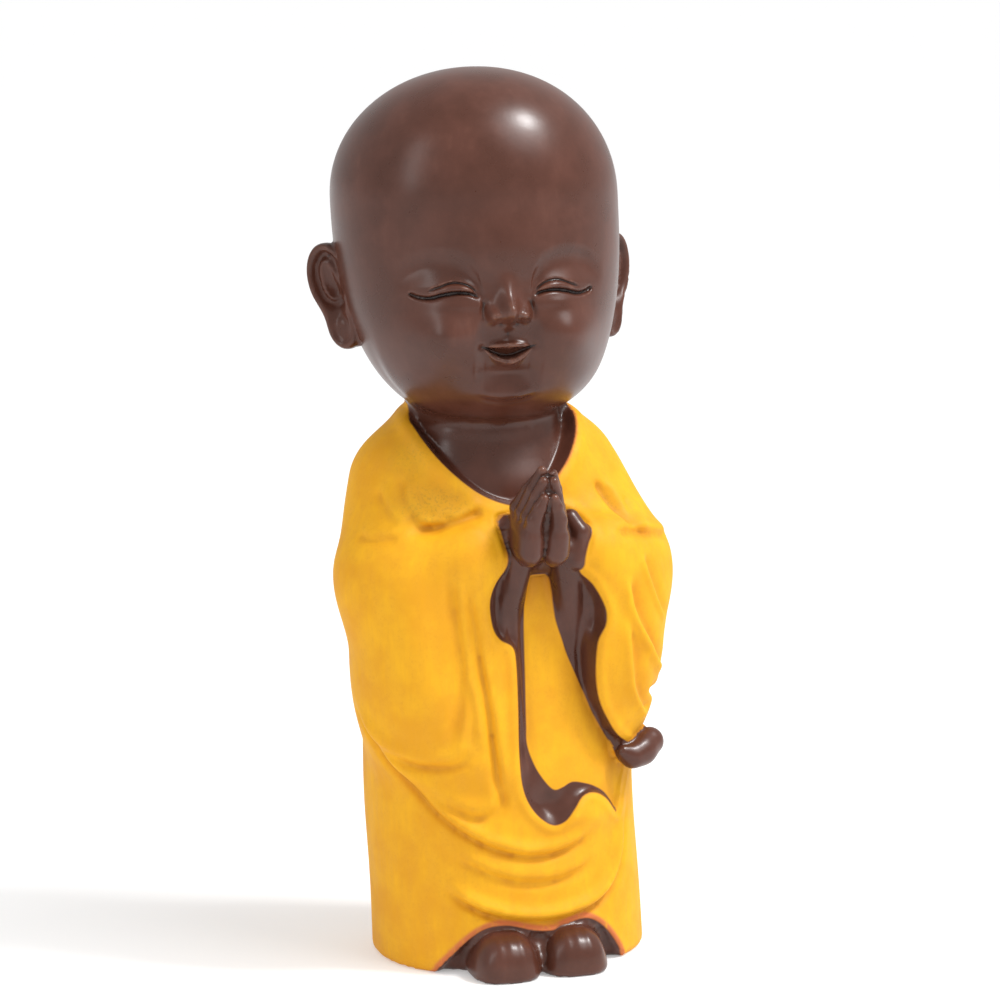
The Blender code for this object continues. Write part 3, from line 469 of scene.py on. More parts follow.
def draw_face(x, z):
    """What is cut from the head at a place on the face."""
    q = np.abs(x)
    # eye sockets, smiling lids, the slits between them and the creases above
    under = profile(q, BROW) - z
    d = 0.75 * rise(under, -0.8, 1.6) * (1 - rise(under, 2.2, 5.5)) * rise(q, 3.0, 6.0)
    d = d * (1 - rise(q, 13.0, 18.0)) + 0.5 * bell(q, z, (4.1, 115.4), (2.0, 2.8))
    d = d - 0.45 * bell(x, z, (0.0, 121.5), (5.0, 4.0))
    d = d - 0.45 * bell(q, z, (8.3, 115.0), (4.0, 1.0)) - 0.35 * bell(q, z, (8.6, 112.6), (4.4, 1.1))
    d = d + groove(q, z, EYE_SLIT, 0.36, 0.7, 0.0, 0.12)
    d = d + groove(q, z, LID_CREASE, 0.26, 0.42, 0.0, 0.15)
    # full cheeks, with the mouth sunk between them
    d = d - 2.6 * bell(q, z, (10.4, 107.2), (5.4, 4.6)) - 0.8 * bell(q, z, (12.5, 101.0), (6.0, 5.0))
    between = 1 - rise(q, 3.4, 6.0)
    d = d + 0.7 * between * rise(z, 96.0, 101.5) * (1 - rise(z, 107.5, 110.5))
    d = d - 0.55 * bell(x, z, (0.0, 105.4), (3.6, 3.4))
    # nose: bridge, tip, wings and nostrils
    d = d - 1.4 * np.exp(-((x / 1.4) ** 2)) * rise(z, 109.5, 112.5) * (1 - rise(z, 112.5, 118.0))
    d = d - 2.6 * bell(x, z, (0.0, 111.1), (1.8, 2.0)) - 1.6 * bell(q, z, (2.6, 110.7), (1.05, 1.15))
    d = d + groove(q, z, NOSE_WING, 0.5, 0.35, 0.0, 0.35)
    d = d + 0.6 * bell(q, z, (1.25, 109.3), (0.85, 0.5))
    d = d + 0.35 * bell(x, z, (0.0, 107.6), (0.7, 0.9))
    # lips and the open smile between them
    upper = 105.75 - 0.03 * x * x - 0.25 * np.exp(-((x / 0.7) ** 2))
    lower = 102.9 + 0.155 * x * x
    d = d - 0.75 * np.exp(-(((z - upper) / 0.62) ** 2)) * np.exp(-((x / 3.2) ** 4))
    d = d - 0.75 * np.exp(-(((z - lower) / 0.6) ** 2)) * np.exp(-((x / 3.1) ** 4))
    low_edge = 103.2 + 0.115 * x * x
    mouth = rise(z, low_edge, low_edge + 0.7) * (1 - rise(z, 104.9, 105.6))
    d = d + 1.0 * mouth * np.exp(-((x / 3.9) ** 6)) + 0.35 * bell(q, z, (4.1, 105.4), (0.9, 0.6))
    # chin and the crease of the double chin
    d = d + 0.3 * bell(x, z, (0.0, 101.2), (4.0, 1.0)) - 0.65 * bell(x, z, (0.0, 97.6), (5.4, 1.8))
    return d + groove(x, z, CHIN_CREASE, 0.5, 0.3, 0.2, 0.3)


face_at = charted(draw_face, (-22, 90), (22, 130), 0.07)


def head(p):
    x, y, z = p.T
    h = z - HEAD_MIDDLE
    down = np.clip(-h / HEAD_DOWN, 0, 1.3)
    up = np.clip(h / HEAD_UP, 0, 1.3)
    shifted = y + 4.5 * down**1.5 + 3.5 * up**2
    flat = np.sqrt((x / HEAD_HALF_WIDTH) ** 2 + (shifted / HEAD_HALF_DEPTH) ** 2)
    squareness = np.where(h > 0, 2.05, 2.6)
    egg = (flat**squareness + (down + up) ** squareness) ** (1 / squareness)
    turned = math.cos(FACE_TURN) * x - math.sin(FACE_TURN) * y
    return (egg - 1) * 23.0 + face_at(turned, z) * rise(-y, 6, 10)


def ear(p, side):
    """A shallow dish with a rolled rim and a long lobe, set slantwise on the head."""
    slant = math.radians(44)
    up = p[:, 2] - 104.0
    x = side * p[:, 0] - 21.6 - 0.09 * up
    y = p[:, 1] + 0.6 - 0.14 * up
    v = up - 8.6
    u = math.cos(slant) * x + math.sin(slant) * y
    w = math.sin(slant) * x - math.cos(slant) * y
    flat = np.stack([u, v, np.zeros(len(u))], 1)
    rim = union(ball(flat, (2.5, 2.6, 0), (4.3, 6.1, 1)), ball(flat, (1.5, -5.2, 0), (2.9, 3.7, 1)), 3.0)
    above_lobe = rise(v, -5, -1)
    face = 0.9 + 0.5 * np.exp(-(((rim + 0.6) / 0.7) ** 2))
    face = face - 1.15 * np.exp(-(((rim + 2.0) / 0.6) ** 2)) * above_lobe
    face = face + 0.35 * np.exp(-(((rim + 3.0) / 0.5) ** 2)) * above_lobe
    face = face - 1.9 * bell(u, v, (1.8, 0.6), (1.5, 2.6)) + 0.9 * bell(u, v, (0.2, 0.4), (0.9, 1.2))
    return meet(meet(w - face, -1.6 - w, 0.8), rim, 1.0)


def ears(p):
    pair = np.full(len(p), 9.0)
    for side in (-1, 1):
        low = (min(side * 16, side * 34), -10, 98)
        high = (max(side * 16, side * 34), 14, 128)
        pair = np.minimum(pair, where_near(p, low, high, lambda near: ear(near, side)))
    return pair


# Hands, pressed palm to palm and leaning forward

HAND_HEEL = (2.2, -22.6, 69.6)
HAND_UP = (0.055, -0.25, 1.0)
# Each finger: place from back to front at the knuckle and at the tip, and its length.
FINGERS = ((-2.9, -1.2, 15.6), (-1.0, 0.5, 17.2), (0.9, 2.0, 15.9), (2.7, 3.2, 13.4))


def hands(p):
    up = np.array(HAND_UP) / np.linalg.norm(HAND_UP)
    across = np.cross((0.0, 1.0, 0.0), up)
    across = across / np.linalg.norm(across)
    forward = np.cross(across, up)
    q = p - np.array(HAND_HEEL)
    a, b, c = q @ across, q @ forward, q @ up
    fillet = 1.5 - 1.3 * rise(c, 5.5, 8.5)
    pair = None
    for side in (-1, 1):
        r = np.stack([side * a, b, c], 1)
        f = ball(r, (2.2, 0.1, 4.1), (2.2, 4.2, 4.5))
        for base, tip, long in FINGERS:
            middle = 0.45 * base + 0.55 * tip
            spread = 2.7 - 0.22 * base
            stations = (
                ((2.2, 0.85 * base, 3.0), 1.8), ((spread, base, 8.6), 1.35),
                ((0.66 * spread, middle, 0.5 * (8.6 + long)), 1.08), ((0.86, tip, long - 0.8), 0.8),
            )
            f = union(f, chain(r, stations, 0.3), fillet)
        f = union(f, limb(r, (2.2, -3.2, 4.0), (0.9, -4.2, 11.0), 1.5, 1.0), 0.5)
        pair = f if pair is None else union(pair, f, 0.15)
    web = limb(np.stack([a, b, c], 1), (0, 0.2, 3.0), (0, 1.4, 12.0), 2.2, 1.3)
    return union(pair, web, 0.2)


def forearms(p):
    """The wrists under the hands, running down into the lining of the sleeves."""
    right = limb(p, (-0.3, -20.6, 70.4), (-2.4, -15.8, 58.0), 2.4, 2.0)
    left = limb(p, (7.4, -20.2, 71.0), (9.6, -15.2, 57.0), 2.7, 2.4)
    return np.minimum(right, left)


def cuff(p):
    """Rolled rim of the left sleeve beside the hands."""
    return chain(p, (
        ((8.8, -19.6, 76.2), 1.6), ((10.0, -20.8, 74.0), 1.6), ((8.8, -21.6, 69.4), 1.4),
    ), 0.5)


# Boxes, lowest and highest corner, outside which each small form needn't be worked out
FEET_BOX = ((-20, -32, -5), (20, -6, 14))
TAIL_BOX = ((10, -24, 28), (32, -6, 44))
FOREARMS_BOX = ((-10, -30, 52), (18, -10, 82))
CUFF_BOX = ((2, -30, 60), (16, -12, 82))
HANDS_BOX = ((-8, -38, 60), (14, -10, 94))


def unleaned(p):
    """Places on the figure as they would be if it stood upright."""
    return p + np.outer(p[:, 2], (LEAN, 0.0, 0.0))


def figure(p):
    """Distance to the whole figure from points given in parts."""
    p = unleaned(p)
    f = robe(p)
    f = union(f, where_near(p, *FEET_BOX, feet), 0.5)
    f = union(f, where_near(p, *TAIL_BOX, sleeve_tail), 0.7)
    neck = limb(p, (-0.5, 0.6, 84), (-0.5, -0.6, 97), 12.9, 12.6)
    f = union(f, neck + 0.35 * np.exp(-(((p[:, 2] - 91.2) / 0.7) ** 2)), 0.6)
    f = union(f, union(head(p), ears(p), 0.5), 0.6)
    f = union(f, where_near(p, *FOREARMS_BOX, forearms), 2.0)
    f = union(f, where_near(p, *CUFF_BOX, cuff), 0.8)
    return union(f, where_near(p, *HANDS_BOX, hands), 0.3)


# The casting: balls that cover every limb are joined, drawn onto the figure's surface at
# finer and finer size, and cut finer still where the carving is small.

VOXELS = (1.5, 1.0, 0.85)  # millimetres
TRIANGLES = 196_000
FLAT_BELOW = 0.12  # millimetres from the ground that are levelled to stand on
CREASE_ROUNDS = 5  # rounds of evening out that leave the narrow creases and rims
SWELL_ROUNDS = 26  # and those that leave only the broad hollows and swells of the cloth
ROUGH_BALLS = (  # centre, radii, turn about the vertical
    ((0, 0, 48), (22, 19, 48), 0), ((0, 0, 10), (22, 19.5, 12), 0), ((0, 0, 80), (21, 17, 14), 0),
    ((-3, 0, 129), (22, 22, 20), 0), ((-2, -3, 108), (20, 20, 19), 0), ((-2, 0, 94), (11, 11, 11), 0),
    ((-16, -7, 58), (10, 13, 22), 0), ((14, -7, 58), (10, 13, 22), 0),
    ((-19, -4, 72), (8, 8, 14), 0), ((15, -4, 72), (8, 8, 14), 0),
    ((-6.3, -19, 4.5), (7.0, 8.6, 6.2), 0), ((5.5, -19, 4.5), (7.0, 8.6, 6.2), 0),
    ((0.4, -23.5, 76), (6.6, 6.4, 9.5), 0), ((0.4, -26.5, 82), (4.2, 5.6, 7.6), 0),
    ((20.5, -14.5, 35), (6.4, 4.4, 4.4), 0), ((9, -18.5, 25.5), (7.5, 4.5, 5), 0),
    ((-8, -19, 69), (7, 6, 8), 0), ((9, -19, 69), (7, 6, 8), 0),
    ((-27.2, 2.8, 113.0), (6.0, 3.2, 11.0), -44), ((21.4, 2.8, 113.0), (6.0, 3.2, 11.0), 44),
)


def rough_form():
    """One object of overlapping balls."""
    bpy.ops.object.select_all(action="DESELECT")
    balls = []
    for centre, radii, turn in ROUGH_BALLS:
        bpy.ops.mesh.primitive_uv_sphere_add(segments=32, ring_count=20, location=centre, scale=radii)
        bpy.context.object.rotation_euler[2] = math.radians(turn)
        balls.append(bpy.context.object)
    for made in balls:
        made.select_set(True)
    bpy.ops.object.transform_apply(location=True, rotation=True, scale=True)
    bpy.ops.object.join()
    return bpy.context.object


def coordinates(body):
    """Place of each point of the body."""
    flat = np.empty(3 * len(body.data.vertices), np.float32)
    body.data.vertices.foreach_get("co", flat)
    return flat.reshape(-1, 3).astype(float)


def edge_ends(body):
    """The two points at the ends of each edge."""
    ends = np.empty(2 * len(body.data.edges), np.int32)
    body.data.edges.foreach_get("vertices", ends)
    return ends.reshape(-1, 2)


def neighbours_mean(values, edges):
    """For each point, the mean of the values at the points it shares an edge with."""
    count = np.bincount(edges.ravel(), minlength=len(values))
    total = np.zeros(values.shape)
    for axis in range(values.shape[1]):
        total[:, axis] += np.bincount(edges[:, 0], values[edges[:, 1], axis], len(values))
        total[:, axis] += np.bincount(edges[:, 1], values[edges[:, 0], axis], len(values))
    return total / np.maximum(count, 1)[:, None]


def press(p, reach):
    """Each point moved towards the figure's surface, no farther than the reach."""
    nudge = 0.03
    f = figure(p)
    slope = np.stack([(figure(p + step) - f) / nudge for step in nudge * np.eye(3)], 1)
    steep = (slope * slope).sum(1)
    move = -(f / np.maximum(steep, 0.2))[:, None] * slope
    far = np.sqrt((move * move).sum(1))
    return p + move * np.minimum(1, reach / np.maximum(far, 1e-9))[:, None]


def settle(body, rounds, reach, share=0.5):
    """Body relaxed and pressed onto the figure's surface in turn."""
    edges = edge_ends(body)
    p = coordinates(body)
    for _ in range(rounds):
        p = press(p + share * (neighbours_mean(p, edges) - p), reach)
    p = press(press(p, reach), reach)
    body.data.vertices.foreach_set("co", p.astype(np.float32).ravel())
    body.data.update()


def cut_finer(body, chosen):
    """Faces chosen by the place of their middle are divided in four."""
    middles = np.empty(3 * len(body.data.polygons), np.float32)
    body.data.polygons.foreach_get("center", middles)
    pick = chosen(unleaned(middles.reshape(-1, 3).astype(float)))
    bpy.ops.object.mode_set(mode="EDIT")
    bpy.ops.mesh.select_mode(type="FACE")
    bpy.ops.mesh.select_all(action="DESELECT")
    bpy.ops.object.mode_set(mode="OBJECT")
    body.data.polygons.foreach_set("select", pick)
    bpy.ops.object.mode_set(mode="EDIT")
    bpy.ops.mesh.subdivide(number_cuts=1)
    bpy.ops.object.mode_set(mode="OBJECT")


def carved_parts(p):
    """The draped front, the ears and the front of the head, where the carving is fine."""
    x, y, z = p.T
    draped = (y < -5) & (z > 7) & (z < 92) & (np.hypot(x, y + 4) > 10)
    face = (y < -12) & (z > 93) & (z < 122)
    listening = (np.abs(x) > 21.5) & (z > 101) & (z < 122) & (y < 10)
    return draped | face | listening | ((y < -18) & (z <= 12))


def smallest_parts(p):
    """Eyes, nose, mouth and hands."""
    x, y, z = p.T
    eyes = (z > 111) & (z < 118) & (np.abs(x + 1.2) < 17.5)
    mouth = (z > 100) & (z < 118) & (np.abs(x + 1.2) < 6.5)
    features = (y < -16) & (eyes | mouth)
    praying = (y < -21) & (z > 66) & (z < 92) & (x > -6) & (x < 10)
    return features | praying


def drawn_parts(p):
    """The slits of the eyes, the nose and the mouth."""
    x, y, z = p.T
    q = np.abs(math.cos(FACE_TURN) * x - math.sin(FACE_TURN) * y)
    slits = (np.abs(z - 114.6) < 2.0) & (q > 3.6) & (q < 16.2)
    return (y < -16) & (slits | ((z > 101.5) & (z < 112.5) & (q < 5.2)))


monk = rough_form()
for size in VOXELS:
    remesh = monk.modifiers.new("Remesh", "REMESH")
    remesh.mode = "VOXEL"
    remesh.voxel_size = size
    bpy.ops.object.modifier_apply(modifier=remesh.name)
    settle(monk, 5, 1.2 * size)
# each finer cut is settled with a shorter reach, so that thin carving isn't pulled across
cut_finer(monk, carved_parts)
settle(monk, 3, 0.5)
cut_finer(monk, smallest_parts)
settle(monk, 3, 0.25, 0.35)
cut_finer(monk, drawn_parts)
settle(monk, 2, 0.1, 0.3)
monk.data.calc_loop_triangles()
thin = monk.modifiers.new("Decimate", "DECIMATE")
thin.ratio = min(1.0, TRIANGLES / len(monk.data.loop_triangles))
bpy.ops.object.modifier_apply(modifier=thin.name)
monk.name = "monk_cast"
monk.data.name = "monk_cast"

# Where the paint goes, in millimetres at each point of the surface, and where shade and highlights are
# painted


def bare_forms(p):
    """Distance to all that was left unpainted: head, hands, feet and the sleeve's tail."""
    bare = np.minimum(head(p), ears(p))
    bare = np.minimum(bare, where_near(p, *HANDS_BOX, hands))
    bare = np.minimum(bare, where_near(p, *FOREARMS_BOX, forearms))
    bare = np.minimum(bare, where_near(p, *CUFF_BOX, cuff))
    bare = np.minimum(bare, where_near(p, *FEET_BOX, feet))
    return np.minimum(bare, where_near(p, *TAIL_BOX, sleeve_tail))


def yellow_field(p):
    """How far a point lies inside the yellow of the robe, below nought on all the rest."""
    gap, panel = front_edges(p)
    field = np.minimum(np.maximum(gap, -panel), neck_edge(p))
    field = np.minimum(field, hem_edge(p) - 0.2)
    return np.minimum(field, bare_forms(p) - 0.25)


def worn_field(p):
    """How far the yellow is rubbed off: one along the hem's arch, less along the collar."""
    x, y, z = p.T
    hem = 1 - rise(hem_edge(p), 0.4, 1.7)
    collar = (1 - rise(neck_edge(p), 0.1, 0.8)) * rise(x, 0, 10) * (y < 4)
    return np.maximum(hem, 0.6 * collar)


def scuff_field(p):
    """Where handling has dulled the yellow: the creases by the arm pits and the shoulders."""
    x, y, z = p.T
    s = WRAP_RADIUS * np.arctan2(x, -y)
    chest = bell(s, z, (-14.5, 78.8), (7.5, 3.4)) + 0.7 * bell(s, z, (-20.0, 87.0), (6.0, 5.0))
    shoulder = 0.8 * bell(s, z, (18.8, 77.5), (1.5, 4.5)) + 0.3 * bell(s, z, (-8.0, 50.0), (3.0, 24.0))
    return np.minimum(chest + shoulder, 1.0) * (y < 2)


def carved_line_shade_field(p):
    """How far inside the painted shade of the face's carved lines a point lies: slits, lid creases,
    smile.
    """
    x, y, z = p.T
    q = np.abs(math.cos(FACE_TURN) * x - math.sin(FACE_TURN) * y)
    near = (y < -12) & (np.abs(z - 114.5) < 4) & (q < 18)
    field = np.full(len(p), -1.0)
    slit, _, share = to_line(q[near], z[near], smooth_line(EYE_SLIT))
    crease, _, gone = to_line(q[near], z[near], smooth_line(LID_CREASE))
    thick = 0.31 * np.sin(math.pi * share**0.85)
    thin = 0.13 * np.sin(math.pi * gone)
    field[near] = np.maximum(thick - slit, thin - crease)
    # the painted shade in the two corners of the smile
    lips = (y < -12) & (np.abs(z - 105) < 3) & (q < 6)
    lip, _, share = to_line(q[lips], z[lips], smooth_line(SMILE_CORNER))
    field[lips] = 0.24 * np.sin(math.pi * share**0.8) - lip
    return field


def ridges(body, p, rounds):
    """How sharply the surface stands out, below nought in a crease; more rounds, broader."""
    edges = edge_ends(body)
    normals = np.empty(3 * len(p), np.float32)
    body.data.vertices.foreach_get("normal", normals)
    normals = normals.reshape(-1, 3)
    reach = np.linalg.norm(p[edges[:, 0]] - p[edges[:, 1]], axis=1)
    spacing = neighbours_spacing(reach, edges, len(p))
    bulge = ((p - neighbours_mean(p, edges)) * normals).sum(1) / spacing**2
    for _ in range(rounds):
        bulge = 0.5 * bulge + 0.5 * neighbours_mean(bulge[:, None], edges)[:, 0]
    return bulge


def neighbours_spacing(reach, edges, count):
    """Mean length of the edges that meet at each point."""
    total = np.bincount(edges[:, 0], reach, count) + np.bincount(edges[:, 1], reach, count)
    return total / np.maximum(np.bincount(edges.ravel(), minlength=count), 1)


def write_attribute(body, name, values):
    """Values kept on the casting for its finish to follow."""
    kept = body.data.attributes.new(name, "FLOAT", "POINT")
    kept.data.foreach_set("value", values.astype(np.float32))


surface = coordinates(monk)
upright = unleaned(surface)
write_attribute(monk, "yellow", yellow_field(upright))
write_attribute(monk, "worn", worn_field(upright))
write_attribute(monk, "scuff", scuff_field(upright))
write_attribute(monk, "carved_line_shade", carved_line_shade_field(upright))
# the creases and swells below carry the painted shade in creases and hollows and the painted highlights
# on rims and swells
write_attribute(monk, "ridge", ridges(monk, surface, CREASE_ROUNDS))
swell = ridges(monk, surface, SWELL_ROUNDS)
# scaled so that four fifths of the surface lie between minus one and one
write_attribute(monk, "swell", swell / np.percentile(np.abs(swell), 80))
surface[surface[:, 2] < FLAT_BELOW, 2] = 0.0
monk.data.vertices.foreach_set("co", (surface * PART).astype(np.float32).ravel())
monk.data.update()
triangulate = monk.modifiers.new("Triangulate", "TRIANGULATE")
bpy.ops.object.modifier_apply(modifier=triangulate.name)
bpy.ops.object.shade_smooth()


# Material: cast polyurethane resin, pigmented dark brown and buffed to a satin, with matt
# acrylic brushed on the robe. To the eye: soft broad highlights on a brown with painted shade,
# near black, in the creases and in the carved lines of the face, and rubbed paler on fingers
# and rims, partly wear and partly a painted highlight; a dry yellow with brush marks, with a
# painted highlight on the swells of the cloth and painted shade deeper in the folds and along
# the edge of the paint, dulled by handling near the arm pits and worn to orange at the hem.

MILLIMETRE = 1000.0  # pattern scale that gives patches of one millimetre
PIGMENT_CLOUD = 7.0  # millimetres across
BRUSH_STROKE = 1.4  # millimetres wide, five times as long; drawn as coarse as it needs to show
FINE_GRAIN = 0.5  # millimetres
SATIN = (0.26, 0.34)  # roughness of the buffed resin, from one cloud of pigment to the next
DRY = (0.6, 0.75)  # roughness of the matt paint, from one brush stroke to the next


def linear(hex_colour):
    """sRGB hex to the linear colour the shader takes."""
    channels = [int(hex_colour[i:i + 2], 16) / 255 for i in (1, 3, 5)]
    made = [c / 12.92 if c <= 0.04045 else ((c + 0.055) / 1.055) ** 2.4 for c in channels]
    return (*made, 1.0)


def add_node(tree, kind, values=None, links=None, **settings):
    """A node with its settings, the values of its sockets and the outputs linked to them."""
    node = tree.nodes.new(kind)
    for name, value in settings.items():
        setattr(node, name, value)
    for socket, value in (values or {}).items():
        node.inputs[socket].default_value = value
    for socket, output in (links or {}).items():
        tree.links.new(output, node.inputs[socket])
    return node


finish = bpy.data.materials.new("hand_painted_resin")
finish.use_nodes = True
tree = finish.node_tree
shader = tree.nodes["Principled BSDF"]
place = add_node(tree, "ShaderNodeTexCoord").outputs["Object"]

# the strokes are drawn out up and down the figure; cloud and grain are turned askew, so that
# their grid doesn't line up with it
along = add_node(
    tree, "ShaderNodeMapping", {"Scale": (1.0, 1.0, 0.2)}, {"Vector": place},
).outputs[0]
askew = add_node(
    tree, "ShaderNodeMapping", {"Rotation": (0.6, 0.5, 0.4)}, {"Vector": place},
).outputs[0]
cloud = add_node(
    tree, "ShaderNodeTexNoise",
    {"Scale": MILLIMETRE / PIGMENT_CLOUD, "Detail": 5.0, "Roughness": 0.55}, {"Vector": askew},
).outputs[0]
stroke = add_node(
    tree, "ShaderNodeTexNoise",
    {"Scale": MILLIMETRE / BRUSH_STROKE, "Detail": 4.0, "Roughness": 0.65}, {"Vector": along},
).outputs[0]
grain = add_node(
    tree, "ShaderNodeTexNoise",
    {"Scale": MILLIMETRE / FINE_GRAIN, "Detail": 3.0, "Roughness": 0.7}, {"Vector": askew},
).outputs[0]

# what a layer of colour can follow: the patterns, and the fields that the casting carries
fields = {"cloud": cloud, "stroke": stroke, "grain": grain}
for name in ("yellow", "worn", "scuff", "carved_line_shade", "ridge", "swell"):
    fields[name] = add_node(tree, "ShaderNodeAttribute", attribute_name=name).outputs["Fac"]
EVEN = ("grain", -2.0, -1.0)  # for a layer that no pattern breaks up

# The two colourings, each a darker and a paler base and the layers on it from the bottom up:
# colour, the field it follows, where that starts and is full, the most it covers, and the
# pattern that breaks it up, with where that starts and is full.
BARE_RESIN = ("#4A291E", "#553126", (
    ("#643E31", "cloud", 0.4, 0.7, 0.35, "stroke", 0.45, 0.75),
    # paler on the sharp rims and fingers: partly rubbed wear, partly a painted highlight
    ("#7A5243", "ridge", 0.15, 0.8, 0.6, "stroke", 0.3, 0.6),
    # painted shade: near black in the creases
    ("#2A1812", "ridge", -0.22, -0.8, 0.75, *EVEN),
    # painted shade, near black, in the carved slits of the eyes, the lid creases and the smile corners
    ("#1B0D0A", "carved_line_shade", -0.06, 0.08, 0.9, *EVEN),
))
ROBE_PAINT = ("#DA9707", "#E3A40A", (
    ("#F2B41A", "cloud", 0.35, 0.65, 0.3, "stroke", 0.45, 0.75),
    ("#CC8A07", "stroke", 0.6, 0.4, 0.3, "grain", 0.55, 0.3),
    # painted highlight on the broad swells of the cloth
    ("#F8BC28", "swell", 0.7, 2.6, 0.45, *EVEN),
    # painted shade in the broad hollows of the folds
    ("#C07A0A", "swell", 0.0, -1.5, 0.6, *EVEN),
    # painted shade in the narrow creases of the cloth
    ("#A2640C", "ridge", -0.08, -0.7, 0.55, *EVEN),
    ("#A87F1C", "scuff", 0.1, 1.0, 0.3, *EVEN),
    ("#7E6220", "scuff", 0.2, 1.0, 0.35, "grain", 0.45, 0.7),
    ("#C4693A", "worn", 0.1, 0.75, 0.95, "stroke", 0.15, 0.5),
    # painted shade: a dark line just inside the edge of the yellow, where the cloth steps down
    ("#7C4520", "yellow", 0.26, 0.02, 0.7, *EVEN),
))
clouded = add_node(
    tree, "ShaderNodeMapRange", {1: 0.3, 2: 0.7}, {0: cloud}, interpolation_type="SMOOTHSTEP",
).outputs[0]
coats = []
for deep, pale, layers in (BARE_RESIN, ROBE_PAINT):
    coat = add_node(
        tree, "ShaderNodeMix", {6: linear(deep), 7: linear(pale)}, {0: clouded}, data_type="RGBA",
    )
    for colour, field, start, full, most, pattern, opens, whole in layers:
        cover = add_node(
            tree, "ShaderNodeMapRange", {1: start, 2: full, 4: most}, {0: fields[field]},
            interpolation_type="SMOOTHSTEP",
        )
        broken = add_node(
            tree, "ShaderNodeMapRange", {1: opens, 2: whole}, {0: fields[pattern]},
            interpolation_type="SMOOTHSTEP",
        )
        amount = add_node(
            tree, "ShaderNodeMath", links={0: cover.outputs[0], 1: broken.outputs[0]},
            operation="MULTIPLY",
        )
        coat = add_node(
            tree, "ShaderNodeMix", {7: linear(colour)}, {0: amount.outputs[0], 6: coat.outputs[2]},
            data_type="RGBA",
        )
    coats.append(coat.outputs[2])
painted = add_node(
    tree, "ShaderNodeMapRange", {1: -0.05, 2: 0.05}, {0: fields["yellow"]},
    interpolation_type="SMOOTHSTEP",
).outputs[0]
colour = add_node(
    tree, "ShaderNodeMix", links={0: painted, 6: coats[0], 7: coats[1]}, data_type="RGBA",
).outputs[2]
tree.links.new(colour, shader.inputs["Base Color"])

# satin where bare, dry where painted, a little uneven in both
satin = add_node(
    tree, "ShaderNodeMapRange", {1: 0.3, 2: 0.7, 3: SATIN[0], 4: SATIN[1]}, {0: cloud},
).outputs[0]
dry = add_node(
    tree, "ShaderNodeMapRange", {1: 0.3, 2: 0.7, 3: DRY[0], 4: DRY[1]}, {0: stroke},
).outputs[0]
gloss = add_node(tree, "ShaderNodeMix", links={0: painted, 2: satin, 3: dry}).outputs[0]
tree.links.new(gloss, shader.inputs["Roughness"])
shader.inputs["IOR"].default_value = 1.49
shader.inputs["Specular IOR Level"].default_value = 0.36

# hand finish: a soft waviness of 0.2 mm everywhere, brush marks of 0.06 mm in the paint
waves = add_node(
    tree, "ShaderNodeBump", {"Strength": 0.2, "Distance": 0.2 / MILLIMETRE}, {"Height": cloud},
).outputs[0]
brushed = add_node(
    tree, "ShaderNodeMath", links={0: stroke, 1: painted}, operation="MULTIPLY",
).outputs[0]
relief = add_node(
    tree, "ShaderNodeBump", {"Strength": 0.3, "Distance": 0.06 / MILLIMETRE},
    {"Height": brushed, "Normal": waves},
).outputs[0]
tree.links.new(relief, shader.inputs["Normal"])
monk.data.materials.clear()
monk.data.materials.append(finish)

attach(monk, "root")
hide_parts("monk_figurine")


# Studio: a plain pale table that runs out of sight and glows a little, so that shadows stay
# faint; broad light from overhead; a compact key lamp high on the right, whose gleam shows
# on the head and the cheek; a soft box on the left for the second gleam; a bright room.

TABLE_SIZE = 60.0
TABLE_GLOW = 0.3
ROOM_LIGHT = 0.68
FIGURE_MIDDLE = Vector((0.0, 0.0, 0.09))

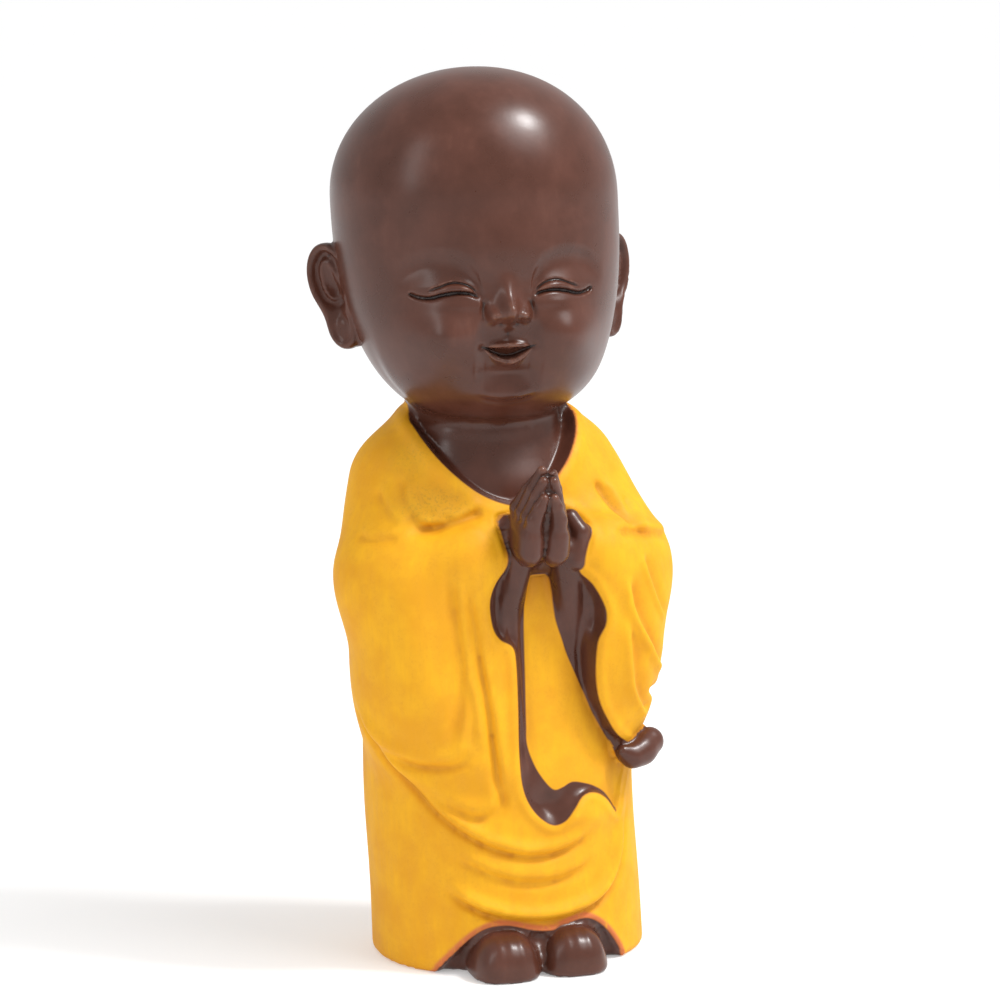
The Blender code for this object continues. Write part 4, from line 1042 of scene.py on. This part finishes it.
bpy.ops.mesh.primitive_plane_add(size=TABLE_SIZE, location=(0, 0, 0))
table = bpy.context.object
table.name = "table"
table_paint = bpy.data.materials.new("pale_table")
table_paint.use_nodes = True
table_shader = table_paint.node_tree.nodes["Principled BSDF"]
table_shader.inputs["Base Color"].default_value = linear("#DCDCDC")
table_shader.inputs["Roughness"].default_value = 0.8
table_shader.inputs["Specular IOR Level"].default_value = 0.1
table_shader.inputs["Emission Color"].default_value = (1, 1, 1, 1)
table_shader.inputs["Emission Strength"].default_value = TABLE_GLOW
table.data.materials.append(table_paint)

bpy.context.scene.view_settings.view_transform = "Standard"
room = bpy.data.worlds.new("studio")
bpy.context.scene.world = room
room.use_nodes = True
room.node_tree.nodes["Background"].inputs["Color"].default_value = (1, 1, 1, 1)
room.node_tree.nodes["Background"].inputs["Strength"].default_value = ROOM_LIGHT


def aim_at_figure(holder, place):
    """Lamp set at the place and turned to the middle of the figure."""
    holder.location = place
    holder.rotation_euler = (FIGURE_MIDDLE - Vector(place)).to_track_quat("-Z", "Y").to_euler()
    bpy.context.scene.collection.objects.link(holder)


overhead = bpy.data.lights.new("overhead", "SUN")
overhead.energy = 1.25
overhead.angle = math.radians(38)
aim_at_figure(bpy.data.objects.new("overhead", overhead), (0.42, -0.38, 0.75))

key = bpy.data.lights.new("key", "AREA")
key.size = 0.17
key.energy = 7.0
aim_at_figure(bpy.data.objects.new("key", key), (0.50, -0.30, 0.90))

soft_box = bpy.data.lights.new("soft_box", "AREA")
soft_box.shape = "RECTANGLE"
soft_box.size, soft_box.size_y = 0.12, 0.6
soft_box.energy = 1.3
aim_at_figure(bpy.data.objects.new("soft_box", soft_box), (-0.8, -0.35, 0.5))

# Camera at the photograph's angle: slightly from the figure's right and above
EYE = Vector((-0.1553, -0.5796, 0.1660))
LOOK = Vector((0.00017, 0.0, 0.0769))
ROLL = math.radians(-1.1)
camera = bpy.data.objects.new("camera", bpy.data.cameras.new("camera"))
bpy.context.scene.collection.objects.link(camera)
camera.data.sensor_width = 36
camera.data.lens = 129.02
camera.data.clip_start = 0.01
camera.location = EYE
turned = (LOOK - EYE).to_track_quat("-Z", "Y") @ Quaternion((0, 0, 1), ROLL)
camera.rotation_euler = turned.to_euler()
bpy.context.scene.camera = camera
